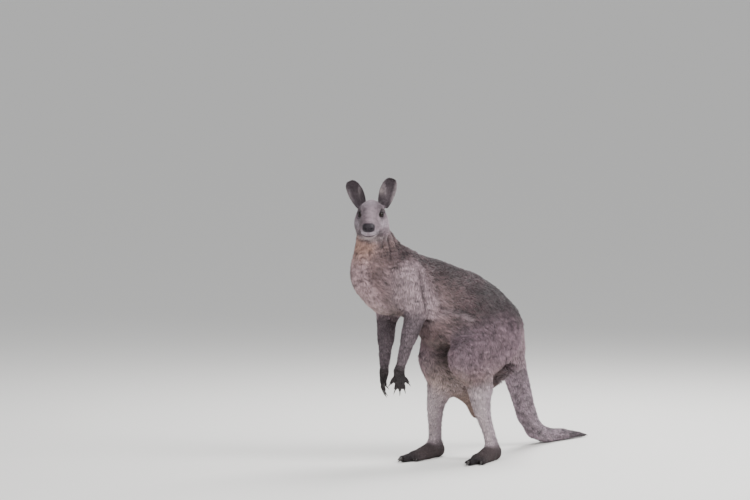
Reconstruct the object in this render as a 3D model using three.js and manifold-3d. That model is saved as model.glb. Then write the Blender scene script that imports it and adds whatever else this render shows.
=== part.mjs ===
// An adult male eastern grey kangaroo as a still, life-size museum model.
// It stands on its long hind feet with the tail's end on the ground, the trunk leaning forward and bent a
// little to its right, the forelegs hanging, and the head turned to its left.
// Millimetres, +Z up. The pelvis faces -Y and the animal's own left is +X.
// The flesh is one rounded form, made of cones and balls that blend into each other. Each named piece is
// found by looking out from a line inside it, ring by ring, to where that form ends.
import * as THREE from "three";
import { mergeVertices } from "three/addons/utils/BufferGeometryUtils.js";
import Module from "manifold-3d";

const wasm = await Module();
wasm.setup();

// ---------------------------------------------------------------- driving dimensions
const GAP = 0.4; // between pieces that meet
const V = (x, y, z) => new THREE.Vector3(x, y, z);
const UP = V(0, 0, 1);

const ANKLE_HEIGHT = 52;
const EYE_RADIUS = 14.5;
const EAR_WIDTH = 70;
const EAR_WALL = 3.2;

// The spine, from the root of the tail to the root of the neck: place, half height, half width.
const SPINE = [
  { at: V(10, 130, 560), high: 82, wide: 76 },
  { at: V(0, 66, 588), high: 100, wide: 92 },
  { at: V(0, 0, 620), high: 114, wide: 104 },
  { at: V(-15, -100, 656), high: 130, wide: 114 },
  { at: V(-55, -210, 698), high: 128, wide: 116 },
  { at: V(-95, -284, 726), high: 124, wide: 114 },
  { at: V(-142, -376, 754), high: 122, wide: 112 },
  { at: V(-188, -448, 804), high: 100, wide: 96 },
];
const NECK = [
  { at: V(-188, -452, 868), radius: 80 },
  { at: V(-190, -462, 924), radius: 68 },
  { at: V(-186, -473, 986), radius: 62 },
];
// The tail, from its root to its tip.
const TAIL = [
  { at: V(10, 130, 560), radius: 78 },
  { at: V(16, 187, 470), radius: 64 },
  { at: V(-28, 264, 365), radius: 55 },
  { at: V(-55, 345, 258), radius: 48 },
  { at: V(-90, 432, 146), radius: 42 },
  { at: V(-122, 528, 66), radius: 37 },
  { at: V(-148, 642, 31), radius: 33 },
  { at: V(-162, 756, 24), radius: 27 },
  { at: V(-168, 862, 17), radius: 20 },
  { at: V(-165, 950, 10), radius: 12 },
];
// Joints of the limbs. Out is +1 on the animal's left.
const LEGS = [
  { side: "left", out: 1, hip: V(80, 15, 548), knee: V(108, -248, 456),
    ankle: V(138, -82, ANKLE_HEIGHT), toes: V(0.31, -0.95, 0).normalize() },
  { side: "right", out: -1, hip: V(-80, 15, 548), knee: V(-80, -215, 440),
    ankle: V(-125, -145, ANKLE_HEIGHT), toes: V(0.17, -0.98, 0).normalize() },
];
const ARMS = [
  { side: "left", out: 1, shoulder: V(-64, -420, 796), elbow: V(-39, -352, 658),
    wrist: V(-60, -451, 386), hand: V(0.12, -0.05, -1).normalize(), palm: V(-0.75, 0.66, 0) },
  { side: "right", out: -1, shoulder: V(-224, -360, 785), elbow: V(-250, -300, 622),
    wrist: V(-174, -412, 372), hand: V(0.06, -0.2, -1).normalize(), palm: V(0.85, 0.5, 0) },
];
const CHEST = { at: V(-146, -393, 755), left: V(0.935, -0.354, 0) };
// The head's own frame: its origin lies midway between the eyes, y points to the nose and x to the left.
const HEAD_AT = V(-146, -531, 1038);
const HEAD_TURN = 35; // degrees, to the animal's left of its pelvis

// ---------------------------------------------------------------- rounded forms
// Each form is a function that gives the distance from a point to its surface, less than 0 inside.

const blend = (a, b, soft) => {
  const near = Math.max(soft - Math.abs(a - b), 0) / soft;
  return Math.min(a, b) - (near * near * soft) / 4;
};
const blendAll = (forms, soft) => (p) => {
  let d = forms[0](p);
  for (let i = 1; i < forms.length; i++) d = blend(d, forms[i](p), soft);
  return d;
};

// A cone with round ends. A flat one is thinner by that share along the direction of thin.
function cone(a, b, ra, rb, thin = null, share = 1) {
  const axis = b.clone().sub(a);
  const length2 = axis.lengthSq();
  const side = thin ? thin.clone().normalize() : null;
  const q = new THREE.Vector3();
  return (p) => {
    q.copy(p).sub(a);
    const t = Math.min(1, Math.max(0, q.dot(axis) / length2));
    q.addScaledVector(axis, -t);
    if (side) q.addScaledVector(side, q.dot(side) * (1 / share - 1));
    return q.length() - (ra + (rb - ra) * t);
  };
}

// An egg with its own three half sizes, turned about Z by so many degrees.
function ball(centre, halves, turn = 0) {
  const c = Math.cos(THREE.MathUtils.degToRad(turn));
  const s = Math.sin(THREE.MathUtils.degToRad(turn));
  return (p) => {
    const dx = p.x - centre.x;
    const dy = p.y - centre.y;
    const x = (dx * c + dy * s) / halves[0];
    const y = (dy * c - dx * s) / halves[1];
    const z = (p.z - centre.z) / halves[2];
    const k = Math.hypot(x, y, z);
    const g = Math.hypot(x / halves[0], y / halves[1], z / halves[2]);
    return g < 1e-9 ? -Math.min(...halves) : (k * (k - 1)) / g;
  };
}

const moved = (a, way, by) => a.clone().addScaledVector(way, by);
const shifted = (a, x, y, z) => a.clone().add(V(x, y, z));
const between = (a, b, t, x = 0, y = 0, z = 0) => shifted(a.clone().lerp(b, t), x, y, z);

// ---------------------------------------------------------------- trunk, neck and tail
const trunkForms = [];
for (let i = 0; i + 1 < SPINE.length; i++) {
  const [a, b] = [SPINE[i], SPINE[i + 1]];
  const along = b.at.clone().sub(a.at);
  const across = UP.clone().cross(along);
  trunkForms.push(cone(a.at, b.at, a.high, b.high, across, (a.wide + b.wide) / (a.high + b.high)));
}
trunkForms.push(ball(V(-18, -95, 582), [100, 140, 100], -8)); // belly
trunkForms.push(ball(V(-60, -215, 635), [96, 120, 96], -25));
trunkForms.push(ball(V(-24, -238, 566), [92, 82, 88])); // it hangs down between the knees
trunkForms.push(ball(V(-184, -466, 768), [88, 86, 96], -35)); // breast
trunkForms.push(ball(V(-144, -426, 692), [78, 86, 80], -30)); // keel of the breast
const neckForms = [];
for (let i = 0; i + 1 < NECK.length; i++) {
  neckForms.push(cone(NECK[i].at, NECK[i + 1].at, NECK[i].radius, NECK[i + 1].radius));
}
neckForms.push(cone(SPINE[7].at, NECK[0].at, SPINE[7].high, NECK[0].radius));
neckForms.push(cone(V(-135, -352, 830), V(-172, -448, 942), 58, 46)); // nape
const tailForms = [];
for (let i = 0; i + 1 < TAIL.length; i++) {
  tailForms.push(cone(TAIL[i].at, TAIL[i + 1].at, TAIL[i].radius, TAIL[i + 1].radius));
}
const trunk = blendAll(trunkForms, 40);
const neck = blendAll(neckForms, 30);
const tail = blendAll(tailForms, 14);
// The groin and the scrotum, which hang between the thighs.
const crotch = [ball(V(-34, -112, 326), [62, 58, 66]), ball(V(48, -62, 338), [54, 54, 62])];
const groin = blendAll([cone(V(0, -60, 430), V(-6, -88, 300), 68, 56), ...crotch], 30);
const scrotum = blendAll(
  [cone(V(2, -80, 300), V(22, -54, 230), 48, 35), ball(V(28, -46, 200), [31, 31, 40]), ...crotch],
  24,
);
const axial = (p) => blend(blend(blend(trunk(p), neck(p), 34), tail(p), 60), groin(p), 40);

// ---------------------------------------------------------------- head
const turn = THREE.MathUtils.degToRad(HEAD_TURN);
// The head's x, its left, and y, its nose, in the part's frame.
const headMatrix = new THREE.Matrix4()
  .makeBasis(V(Math.cos(turn), Math.sin(turn), 0), V(Math.sin(turn), -Math.cos(turn), 0), UP)
  .setPosition(HEAD_AT);
const onHead = (x, y, z) => V(x, y, z).applyMatrix4(headMatrix);
const headForms = [
  cone(onHead(0, -66, 2), onHead(0, -22, 9), 54, 49), // brain case
  cone(onHead(0, -4, 8), onHead(0, 62, -20), 38, 29), // bridge of the nose
  cone(onHead(0, 62, -22), onHead(0, 90, -40), 29, 25),
  ball(onHead(0, 88, -54), [31, 27, 26], HEAD_TURN), // nose and upper lip
  cone(onHead(0, -30, -58), onHead(0, 74, -80), 32, 19), // lower jaw
  ball(onHead(0, 66, -66), [27, 36, 28], HEAD_TURN),
];
for (const s of [1, -1]) {
  headForms.push(ball(onHead(39 * s, -34, -38), [34, 46, 46], HEAD_TURN)); // chewing muscle
  headForms.push(cone(onHead(30 * s, -6, -48), onHead(12 * s, 60, -56), 34, 25)); // cheek
  headForms.push(cone(onHead(47 * s, -24, -8), onHead(28 * s, 34, -28), 16, 14)); // cheekbone
  headForms.push(cone(onHead(39 * s, -20, 22), onHead(31 * s, 12, 16), 16, 12)); // brow
}
// The eyes sit in hollows between the brow and the cheekbone.
const eyeAt = (out) => onHead(38 * out, -3, 1);
const carve = (form, hollow, soft) => -blend(-form, hollow, soft);
const orbits = [1, -1].map((out) => ball(onHead(53 * out, 12, 0), [16, 16, 13], HEAD_TURN));
const headFull = blendAll(headForms, 16);
const head = (p) => orbits.reduce((d, orbit) => carve(d, orbit(p), 9), headFull(p));

// ---------------------------------------------------------------- legs
const SIDEWAYS = V(1, 0, 0);
function legForms({ out, hip, knee, ankle, toes: toeWay }) {
  const heel = moved(ankle, toeWay, -44).setZ(26);
  const across = V(-toeWay.y * out, toeWay.x * out, 0); // to the outer toe
  const sole = (along, sideways, z) =>
    moved(ankle, toeWay, along).addScaledVector(across, sideways).setZ(z);
  const calf = between(knee, ankle, 0.42, 0, 38, 0);
  return {
    sole,
    thigh: blendAll(
      [
        ball(shifted(hip, out * 4, 10, -36), [72, 100, 110]),
        cone(shifted(hip, out * 8, -14, -30), shifted(knee, 0, 12, -2), 102, 62, SIDEWAYS, 0.76),
        cone(shifted(hip, 0, 56, -66), between(knee, ankle, 0.32, 0, 84, 0), 72, 52, SIDEWAYS, 0.86),
        ball(shifted(knee, 0, -26, 0), [38, 38, 48]), // knee cap
        ball(shifted(knee, -out * 12, 12, -64), [42, 44, 58]), // loose skin below the knee
      ],
      46,
    ),
    shank: blendAll(
      [
        cone(shifted(knee, 0, 22, -40), calf, 52, 38),
        cone(calf, between(knee, ankle, 0.64, 0, 12, 0), 38, 25),
        // the hamstrings
        cone(between(knee, ankle, 0.3, 0, 66, 0), between(knee, ankle, 0.52, 0, 42, 0), 40, 25),
        cone(between(knee, ankle, 0.5, 0, 2, 0), shifted(ankle, 0, 2, 6), 27, 24, SIDEWAYS, 0.94),
        cone(between(knee, ankle, 0.52, 0, 36, 0), shifted(heel, 0, 8, 14), 22, 14), // the heel's tendon
      ],
      26,
    ),
    foot: blendAll(
      [
        cone(heel, sole(-20, 0, 26), 25, 27),
        cone(sole(-24, 0, 24), sole(182, -4, 19), 27, 23),
        cone(sole(0, 0, ANKLE_HEIGHT), sole(96, 0, 26), 27, 24), // instep
        cone(sole(30, 8, 20), sole(160, 22, 17), 22, 18),
        cone(sole(60, -10, 18), sole(150, -18, 15), 19, 14),
      ],
      16,
    ),
    // Each toe is from its root to the root of its claw.
    toes: [
      { name: "fourth", from: sole(168, -2, 18), to: sole(264, 0, 15), r: [20, 14], claw: 38, clawR: 7.5 },
      { name: "fifth", from: sole(146, 24, 16), to: sole(214, 38, 12), r: [16, 11], claw: 25, clawR: 5.5 },
      { name: "third", from: sole(128, -21, 13), to: sole(208, -26, 10), r: [11, 7], claw: 14, clawR: 3 },
      { name: "second", from: sole(126, -29, 13), to: sole(206, -37, 10), r: [10, 7], claw: 14, clawR: 3 },
    ],
    heel,
    toeWay,
  };
}

// ---------------------------------------------------------------- arms
const ORDINALS = ["first", "second", "third", "fourth", "fifth"];
function armForms({ out, shoulder, elbow, wrist, hand, palm }) {
  const back = V(0.29, 0.95, 0); // towards the tail, along the chest
  const flat = palm.clone().normalize(); // the way that the palm faces
  const wide = hand.clone().cross(flat).normalize();
  const place = (along, sideways, off) =>
    moved(wrist, hand, along).addScaledVector(wide, sideways).addScaledVector(flat, off);
  const behindElbow = moved(elbow, back, 8);
  const fingers = [];
  const fingerSizes = [
    { spread: -34, root: 24, reach: 30, r: 7.5, claw: 20 },
    { spread: -15, root: 40, reach: 36, r: 7.5, claw: 23 },
    { spread: 0, root: 44, reach: 38, r: 7.5, claw: 24 },
    { spread: 15, root: 41, reach: 35, r: 7.5, claw: 23 },
    { spread: 34, root: 26, reach: 30, r: 7.5, claw: 20 },
  ];
  for (const [i, f] of fingerSizes.entries()) {
    const lean = THREE.MathUtils.degToRad(f.spread);
    const way = hand.clone().multiplyScalar(Math.cos(lean)).addScaledVector(wide, Math.sin(lean));
    const from = place(f.root, (i - 2) * 10.5, 0);
    const middle = moved(from, way, f.reach * 0.55);
    const to = moved(middle, way, f.reach * 0.45).addScaledVector(flat, 7);
    const tipWay = moved(way, flat, 0.35).normalize();
    fingers.push({ name: ORDINALS[i], from, middle, to, r: f.r, way: tipWay, flat, claw: f.claw });
  }
  return {
    upper: blendAll(
      [
        ball(shifted(shoulder, 0, 6, 4), [62, 78, 92], -25),
        cone(shoulder, elbow, 60, 47),
        cone(between(shoulder, elbow, 0.35).addScaledVector(back, 26), behindElbow, 50, 38),
      ],
      34,
    ),
    fore: blendAll(
      [
        cone(moved(elbow, back, 10).add(V(0, 0, 4)), between(elbow, wrist, 0.12), 33, 40),
        cone(between(elbow, wrist, 0.04), between(elbow, wrist, 0.42), 42, 35),
        cone(between(elbow, wrist, 0.4), between(elbow, wrist, 0.78), 35, 22),
        cone(between(elbow, wrist, 0.76), place(2, 0, 0), 22, 19),
      ],
      18,
    ),
    hand: blendAll(
      [
        cone(place(-8, 0, 0), place(36, -9, 0), 19, 19, flat, 0.66),
        cone(place(0, 0, 0), place(36, 9, 0), 20, 19, flat, 0.66),
      ],
      12,
    ),
    fingers,
    place,
  };
}

const legs = LEGS.map((leg) => ({ ...leg, ...legForms(leg) }));
const arms = ARMS.map((arm) => ({ ...arm, ...armForms(arm) }));

// The whole animal's flesh. Pieces of a limb blend softly into the trunk.
const limbSoft = { thigh: 44, shank: 30, foot: 16, upper: 40, fore: 20, hand: 12, head: 20 };
function flesh(p) {
  let d = blend(blend(axial(p), head(p), limbSoft.head), scrotum(p), 20);
  for (const leg of legs) {
    d = blend(d, leg.thigh(p), limbSoft.thigh);
    d = blend(d, leg.shank(p), limbSoft.shank);
    d = blend(d, leg.foot(p), limbSoft.foot);
  }
  for (const arm of arms) {
    d = blend(d, arm.upper(p), limbSoft.upper);
    d = blend(d, arm.fore(p), limbSoft.fore);
    d = blend(d, arm.hand(p), limbSoft.hand);
  }
  return d;
}

// ---------------------------------------------------------------- from a form to a mesh
const LOOK_STEP = 5;
const LOOK_MOST = 320;

// The distance from a point inside a form to its surface, looking one way.
function reach(form, from, way) {
  const p = new THREE.Vector3();
  let near = 0;
  let far = LOOK_STEP;
  while (far < LOOK_MOST && form(p.copy(from).addScaledVector(way, far)) < 0) {
    near = far;
    far += LOOK_STEP;
  }
  for (let i = 0; i < 14; i++) {
    const middle = (near + far) / 2;
    if (form(p.copy(from).addScaledVector(way, middle)) < 0) near = middle;
    else far = middle;
  }
  return Math.max(0.5, (near + far) / 2);
}

// A closed mesh of a form: rings round a line inside it. A dome closes an end with rings that lean out
// along the line. Without one the end is flat, square to the line or to the direction given for it.
function rings(form, line, { count, sectors, startDome = 0, endDome = 0, endPlane }) {
  const curve = new THREE.CatmullRomCurve3(line, false, "centripetal");
  const positions = [];
  const loops = [];
  let side = null;
  const loopAt = (t, lean, plane) => {
    const centre = curve.getPointAt(t);
    const along = (plane ?? curve.getTangentAt(t)).clone().normalize();
    if (!side) side = Math.abs(along.z) > 0.8 ? V(0, 1, 0) : UP.clone();
    const across = moved(side, along, -side.dot(along)).normalize();
    side = across.clone();
    const other = along.clone().cross(across);
    const loop = [];
    for (let j = 0; j < sectors; j++) {
      const angle = (2 * Math.PI * j) / sectors;
      const way = across.clone().multiplyScalar(Math.cos(angle)).addScaledVector(other, Math.sin(angle));
      way.multiplyScalar(Math.cos(lean)).addScaledVector(along, Math.sin(lean)).normalize();
      loop.push(positions.length);
      positions.push(moved(centre, way, reach(form, centre, way)));
    }
    loops.push(loop);
  };
  const leans = (n) => Array.from({ length: n }, (_, i) => ((i + 1) / (n + 1)) * (Math.PI / 2));
  const pole = (t, sign, dome) => {
    const centre = curve.getPointAt(t);
    const way = curve.getTangentAt(t).multiplyScalar(sign);
    if (dome) centre.addScaledVector(way, reach(form, centre, way));
    positions.push(centre);
    return positions.length - 1;
  };
  for (const lean of leans(startDome).reverse()) loopAt(0, -lean);
  for (let i = 0; i < count; i++) {
    loopAt(i / (count - 1), 0, i === count - 1 ? endPlane : undefined);
  }
  for (const lean of leans(endDome)) loopAt(1, lean);
  const index = [];
  const first = pole(0, -1, startDome);
  const last = pole(1, 1, endDome);
  for (let j = 0; j < sectors; j++) {
    const k = (j + 1) % sectors;
    index.push(first, loops[0][k], loops[0][j]);
    for (let i = 0; i + 1 < loops.length; i++) {
      const [a, b] = [loops[i], loops[i + 1]];
      index.push(a[j], a[k], b[k], a[j], b[k], b[j]);
    }
    const end = loops[loops.length - 1];
    index.push(last, end[j], end[k]);
  }
  return meshOf(positions, index);
}

function meshOf(points, index) {
  const array = new Float32Array(points.length * 3);
  points.forEach((p, i) => array.set([p.x, p.y, p.z], i * 3));
  const geometry = new THREE.BufferGeometry();
  geometry.setAttribute("position", new THREE.BufferAttribute(array, 3));
  geometry.setIndex(index);
  return geometry;
}

// ---------------------------------------------------------------- cutting and joining
function solid(geometry) {
  const bare = geometry.clone();
  bare.deleteAttribute("normal");
  bare.deleteAttribute("uv");
  const merged = mergeVertices(bare, 1e-4);
  return new wasm.Manifold(
    new wasm.Mesh({
      numProp: 3,
      vertProperties: merged.attributes.position.array,
      triVerts: new Uint32Array(merged.index.array),
    }),
  );
}

const tube = (form, line, options) => solid(rings(form, line, options));

// The largest body of a solid: slivers that a cut leaves are dropped.
const main = (s) => s.decompose().sort((a, b) => b.volume() - a.volume())[0];

// The mesh of a solid. Where a cut leaves two corners closer than SHORT, they become one, and the two faces
// between them go, unless that would pinch the surface.
const SHORT = 0.2;
function geometryOf(s) {
  const m = s.getMesh();
  const corner = (v) => new THREE.Vector3().fromArray(m.vertProperties, v * m.numProp);
  const points = Array.from({ length: m.numVert }, (_, v) => corner(v));
  const faces = new Set();
  const around = points.map(() => new Set());
  for (let i = 0; i < m.triVerts.length; i += 3) {
    const face = [...m.triVerts.slice(i, i + 3)];
    faces.add(face);
    for (const v of face) around[v].add(face);
  }
  const neighbours = (v) => new Set([...around[v]].flat().filter((u) => u !== v));
  const join = (keep, drop) => {
    const shared = [...neighbours(keep)].filter((u) => neighbours(drop).has(u));
    if (shared.length !== 2 || around[drop].size < 4 || shared.some((u) => around[u].size < 4)) return;
    for (const face of [...around[drop]]) {
      if (face.includes(keep)) {
        faces.delete(face);
        for (const v of face) around[v].delete(face);
      } else {
        face[face.indexOf(drop)] = keep;
        around[drop].delete(face);
        around[keep].add(face);
      }
    }
  };
  for (const face of [...faces]) {
    for (let k = 0; k < 3 && faces.has(face); k++) {
      const [a, b] = [face[k], face[(k + 1) % 3]];
      if (points[a].distanceTo(points[b]) < SHORT) join(a, b);
    }
  }
  const used = points.map((_, v) => v).filter((v) => around[v].size);
  const order = new Map(used.map((v, i) => [v, i]));
  const geometry = meshOf(used.map((v) => points[v]), [...faces].flat().map((v) => order.get(v)));
  geometry.computeVertexNormals();
  return geometry;
}

// What of a limb belongs to its own forms, with the fillet where it grows out of its neighbour.
const own = (form, fillet) => (p) => Math.max(flesh(p), form(p) - fillet);
const grown = (form, by) => (p) => form(p) - by;

// A block that fills all that lies beyond a plane, and what is left of a solid without it.
const BLOCK = 2600;
function beyond(at, way) {
  const turned = new THREE.Quaternion().setFromUnitVectors(UP, way.clone().normalize());
  const block = new THREE.BoxGeometry(BLOCK, BLOCK, BLOCK).translate(0, 0, BLOCK / 2);
  return solid(block.applyQuaternion(turned).translate(at.x, at.y, at.z));
}
const trim = (s, at, way) => s.subtract(beyond(at, way));
// The two sides of one thin cut.
function part(s, at, way) {
  const shift = way.clone().normalize().multiplyScalar(GAP / 2);
  return [trim(s, at.clone().sub(shift), way), trim(s, at.clone().add(shift), way.clone().negate())];
}

// A closed mesh of a form over a whole region, in cells of one size: a corner in each cell that the surface
// crosses, moved on to the surface, and a face across each edge that it crosses.
function cells(form, low, high, size) {
  const n = ["x", "y", "z"].map((k) => Math.ceil((high[k] - low[k]) / size) + 1);
  const at = (i, j, k) => (k * n[1] + j) * n[0] + i;
  const values = new Float32Array(n[0] * n[1] * n[2]);
  const p = new THREE.Vector3();
  const corner = (i, j, k) => p.set(low.x + i * size, low.y + j * size, low.z + k * size);
  for (let k = 0; k < n[2]; k++) {
    for (let j = 0; j < n[1]; j++) {
      for (let i = 0; i < n[0]; i++) {
        const border = [i, j, k].some((m, axis) => m === 0 || m === n[axis] - 1);
        values[at(i, j, k)] = Math.max(form(corner(i, j, k)), border ? size / 2 : -Infinity);
      }
    }
  }
  // Where two corners of a square are inside, across from each other, and the other two are outside, the
  // surface would touch itself: the nearer of the outer two is taken as inside.
  const square = (i, j, k, axis) =>
    [[0, 0], [1, 0], [1, 1], [0, 1]].map(([u, v]) => {
      const c = [i, j, k];
      c[(axis + 1) % 3] += u;
      c[(axis + 2) % 3] += v;
      return at(...c);
    });
  for (let k = 0; k + 1 < n[2]; k++) {
    for (let j = 0; j + 1 < n[1]; j++) {
      for (let i = 0; i + 1 < n[0]; i++) {
        for (let axis = 0; axis < 3; axis++) {
          const corners = square(i, j, k, axis);
          const outer = corners.filter((c) => values[c] >= 0);
          if (outer.length !== 2 || (corners.indexOf(outer[1]) - corners.indexOf(outer[0])) !== 2) continue;
          values[values[outer[0]] < values[outer[1]] ? outer[0] : outer[1]] = -1;
        }
      }
    }
  }
  const points = [];
  const found = new Map();
  const slope = new THREE.Vector3();
  const settle = (q) => {
    const start = q.clone();
    for (let step = 0; step < 4; step++) {
      const d = form(q);
      slope.set(
        form(p.copy(q).setX(q.x + 0.5)) - form(p.copy(q).setX(q.x - 0.5)),
        form(p.copy(q).setY(q.y + 0.5)) - form(p.copy(q).setY(q.y - 0.5)),
        form(p.copy(q).setZ(q.z + 0.5)) - form(p.copy(q).setZ(q.z - 0.5)),
      );
      q.addScaledVector(slope, -d / Math.max(slope.lengthSq(), 0.04));
    }
    if (q.distanceTo(start) > size * 0.45) q.copy(start);
    return q;
  };
  for (let k = 0; k + 1 < n[2]; k++) {
    for (let j = 0; j + 1 < n[1]; j++) {
      for (let i = 0; i + 1 < n[0]; i++) {
        const sum = new THREE.Vector3();
        let crossings = 0;
        for (let e = 0; e < 12; e++) {
          const axis = Math.floor(e / 4);
          const a = [i, j, k];
          a[(axis + 1) % 3] += e & 1;
          a[(axis + 2) % 3] += (e >> 1) & 1;
          const b = [...a];
          b[axis] += 1;
          const [va, vb] = [values[at(...a)], values[at(...b)]];
          if (va < 0 === vb < 0) continue;
          const t = va / (va - vb);
          sum.add(corner(...a).clone().lerp(corner(...b), t));
          crossings++;
        }
        if (!crossings) continue;
        found.set(at(i, j, k), points.length);
        points.push(settle(sum.multiplyScalar(1 / crossings)));
      }
    }
  }
  const index = [];
  for (let k = 0; k + 1 < n[2]; k++) {
    for (let j = 0; j + 1 < n[1]; j++) {
      for (let i = 0; i + 1 < n[0]; i++) {
        for (let axis = 0; axis < 3; axis++) {
          const b = [i, j, k];
          if (b[(axis + 1) % 3] === 0 || b[(axis + 2) % 3] === 0) continue;
          b[axis] += 1;
          const inside = values[at(i, j, k)] < 0;
          if (inside === values[at(...b)] < 0) continue;
          const quad = [[0, 0], [1, 0], [1, 1], [0, 1]].map(([u, v]) => {
            const c = [i, j, k];
            c[(axis + 1) % 3] -= 1 - u;
            c[(axis + 2) % 3] -= 1 - v;
            return found.get(at(...c));
          });
          if (!inside) quad.reverse();
          const diagonal = (a, b) => points[quad[a]].distanceTo(points[quad[b]]);
          const shorter = diagonal(0, 2) < diagonal(1, 3);
          const [q0, q1, q2, q3] = shorter ? quad : [quad[1], quad[2], quad[3], quad[0]];
          index.push(q0, q1, q2, q0, q2, q3);
        }
      }
    }
  }
  return meshOf(points, index);
}

// A closed mesh through a row of loops with the same count of points, with a point at each end.
function loft(loops) {
  const points = loops.flat();
  const n = loops[0].length;
  const middle = (loop) => loop.reduce((sum, q) => sum.add(q), new THREE.Vector3()).multiplyScalar(1 / n);
  const first = points.push(middle(loops[0])) - 1;
  const last = points.push(middle(loops[loops.length - 1])) - 1;
  const end = (loops.length - 1) * n;
  const index = [];
  for (let j = 0; j < n; j++) {
    const k = (j + 1) % n;
    index.push(first, k, j, last, end + j, end + k);
    for (let i = 0; i < end; i += n) index.push(i + j, i + k, i + n + k, i + j, i + n + k, i + n + j);
  }
  return meshOf(points, index);
}

// A claw: a tapered horn from its root, curving by so much towards down.
function claw(root, way, down, length, radius) {
  const across = way.clone().cross(down).normalize();
  const square = across.clone().cross(way);
  const loops = [0, 0.45, 1].map((t) => {
    const centre = moved(root, way, length * t).addScaledVector(down, length * 0.24 * t * t);
    const r = radius * (1 - t) ** 0.7 + 0.7;
    return Array.from({ length: 5 }, (_, i) => {
      const angle = (2 * Math.PI * i) / 5;
      return centre
        .clone()
        .addScaledVector(across, -0.8 * r * Math.cos(angle))
        .addScaledVector(square, r * Math.sin(angle));
    });
  });
  return solid(loft(loops));
}

// ---------------------------------------------------------------- the pieces
const pieces = {};
const sided = (name, side) => `${name}_${side}`;

// The soles and the underside of the tail rest on the floor.
const onFloor = (s) => trim(s, V(0, 0, 0), V(0, 0, -1));

// A stub is what a limb's own mesh takes over: the trunk's mesh ends a little beyond each joint.
const STUB = 30;
const stubs = [];
const stub = (at, way, form, margin) => {
  const shift = moved(at, way, STUB);
  stubs.push((p) => Math.max(shift.clone().sub(p).dot(way), form(p) - margin));
};
const headCut = { at: onHead(0, -52, -74), way: onHead(0, 0.52, 0.85).sub(onHead(0, 0, 0)).normalize() };
const rump = 0.03;
const tailCuts = [0.2, 0.46, 0.74];
const tailCurve = new THREE.CatmullRomCurve3(TAIL.map((t) => t.at), false, "centripetal");
const tailCut = (t) => ({ at: tailCurve.getPointAt(t), way: tailCurve.getTangentAt(t) });
for (const leg of legs) {
  leg.kneeWay = leg.ankle.clone().sub(leg.knee).normalize();
  leg.kneeAt = between(leg.knee, leg.ankle, 0.3, 0, 70, 0);
  stub(leg.kneeAt, leg.kneeWay, (p) => Math.min(leg.shank(p), leg.foot(p)), 30);
}
for (const arm of arms) {
  arm.elbowWay = arm.wrist.clone().sub(arm.elbow).normalize();
  arm.elbowAt = between(arm.elbow, arm.wrist, 0.13);
  stub(arm.elbowAt, arm.elbowWay, (p) => Math.min(arm.fore(p), arm.hand(p)), 30);
}
stub(headCut.at, headCut.way, head, 60);
const groinCut = { at: V(0, 0, 290), way: V(0, 0, -1) };
stub(groinCut.at, groinCut.way, scrotum, 8);
stub(tailCut(tailCuts[0]).at, tailCut(tailCuts[0]).way, tail, 40);

const CORE_CELL = 49;
const coreForm = (p) => stubs.reduce((d, s) => Math.max(d, -s(p)), flesh(p));
const core = main(solid(cells(coreForm, V(-440, -680, 120), V(260, 340, 1010), CORE_CELL)));

// The thighs and the upper arms come off the trunk inside an outline drawn from the side. It is a band
// round two or more circles, each with its middle and radius, and it reaches out from an inner plane.
function outline(circles, side, innerAt, lean, by) {
  const along = side.clone().cross(UP).normalize();
  const loop = (depth) =>
    Array.from({ length: 18 }, (_, i) => {
      const angle = (2 * Math.PI * i) / 18;
      const way = along.clone().multiplyScalar(Math.cos(angle)).addScaledVector(UP, Math.sin(angle));
      const edges = circles.map(([c, r]) => moved(c, way, r + by));
      const far = edges.reduce((best, q) => (q.dot(way) > best.dot(way) ? q : best));
      const inner = side.dot(far.clone().sub(innerAt)) - lean * (far.z - innerAt.z);
      return moved(far, side, depth - inner);
    });
  const made = solid(loft([loop(-by), loop(300)]));
  return made.volume() > 0 ? made : solid(loft([loop(300), loop(-by)]));
}
let trunkSolid = core;
for (const leg of legs) {
  const circles = [
    [shifted(leg.hip, 0, 6, -34), 116],
    [shifted(leg.knee, 0, -6, 0), 74],
    [between(leg.knee, leg.ankle, 0.45, 0, 60, 0), 96],
  ];
  const cutter = (by) => outline(circles, V(leg.out, 0, 0), V(leg.out * 18, 0, 300), 0.16, by);
  trunkSolid = trunkSolid.subtract(cutter(GAP));
  const thigh = part(core.intersect(cutter(0)), leg.kneeAt, leg.kneeWay)[0];
  pieces[sided("thigh", leg.side)] = main(thigh);
}
for (const arm of arms) {
  const circles = [
    [between(arm.shoulder, arm.elbow, 0.1), 84],
    [between(arm.shoulder, arm.elbow, 1, 0, 12, 0), 58],
    [between(arm.elbow, arm.wrist, 0.3), 50],
  ];
  const inner = moved(CHEST.at, CHEST.left, arm.out * 48);
  const cutter = (by) => outline(circles, CHEST.left.clone().multiplyScalar(arm.out), inner, 0, by);
  trunkSolid = trunkSolid.subtract(cutter(GAP));
  const upperArm = part(core.intersect(cutter(0)), arm.elbowAt, arm.elbowWay)[0];
  pieces[sided("upper_arm", arm.side)] = main(upperArm);
}
const waist = { at: SPINE[3].at.clone().lerp(SPINE[4].at, 0.6), way: SPINE[4].at.clone().sub(SPINE[3].at) };
const throat = { at: V(-180, -430, 848), way: V(-0.12, -0.42, 0.9) };
const groinLine = [V(2, -82, 312), V(22, -54, 230), V(28, -46, 198)];
const scrotumWhole = tube(own(scrotum, 8), groinLine, { count: 4, sectors: 11, startDome: 1, endDome: 1 });
pieces.scrotum = main(part(scrotumWhole, groinCut.at, groinCut.way)[1]);
const belowGroin = beyond(groinCut.at, groinCut.way).intersect(beyond(V(0, 60, 0), V(0, -1, 0)));
trunkSolid = trunkSolid.subtract(belowGroin);
const [rear, front] = part(trunkSolid, waist.at, waist.way);
const [chest, neckSolid] = part(front, throat.at, throat.way);
pieces.chest = main(chest);
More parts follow.
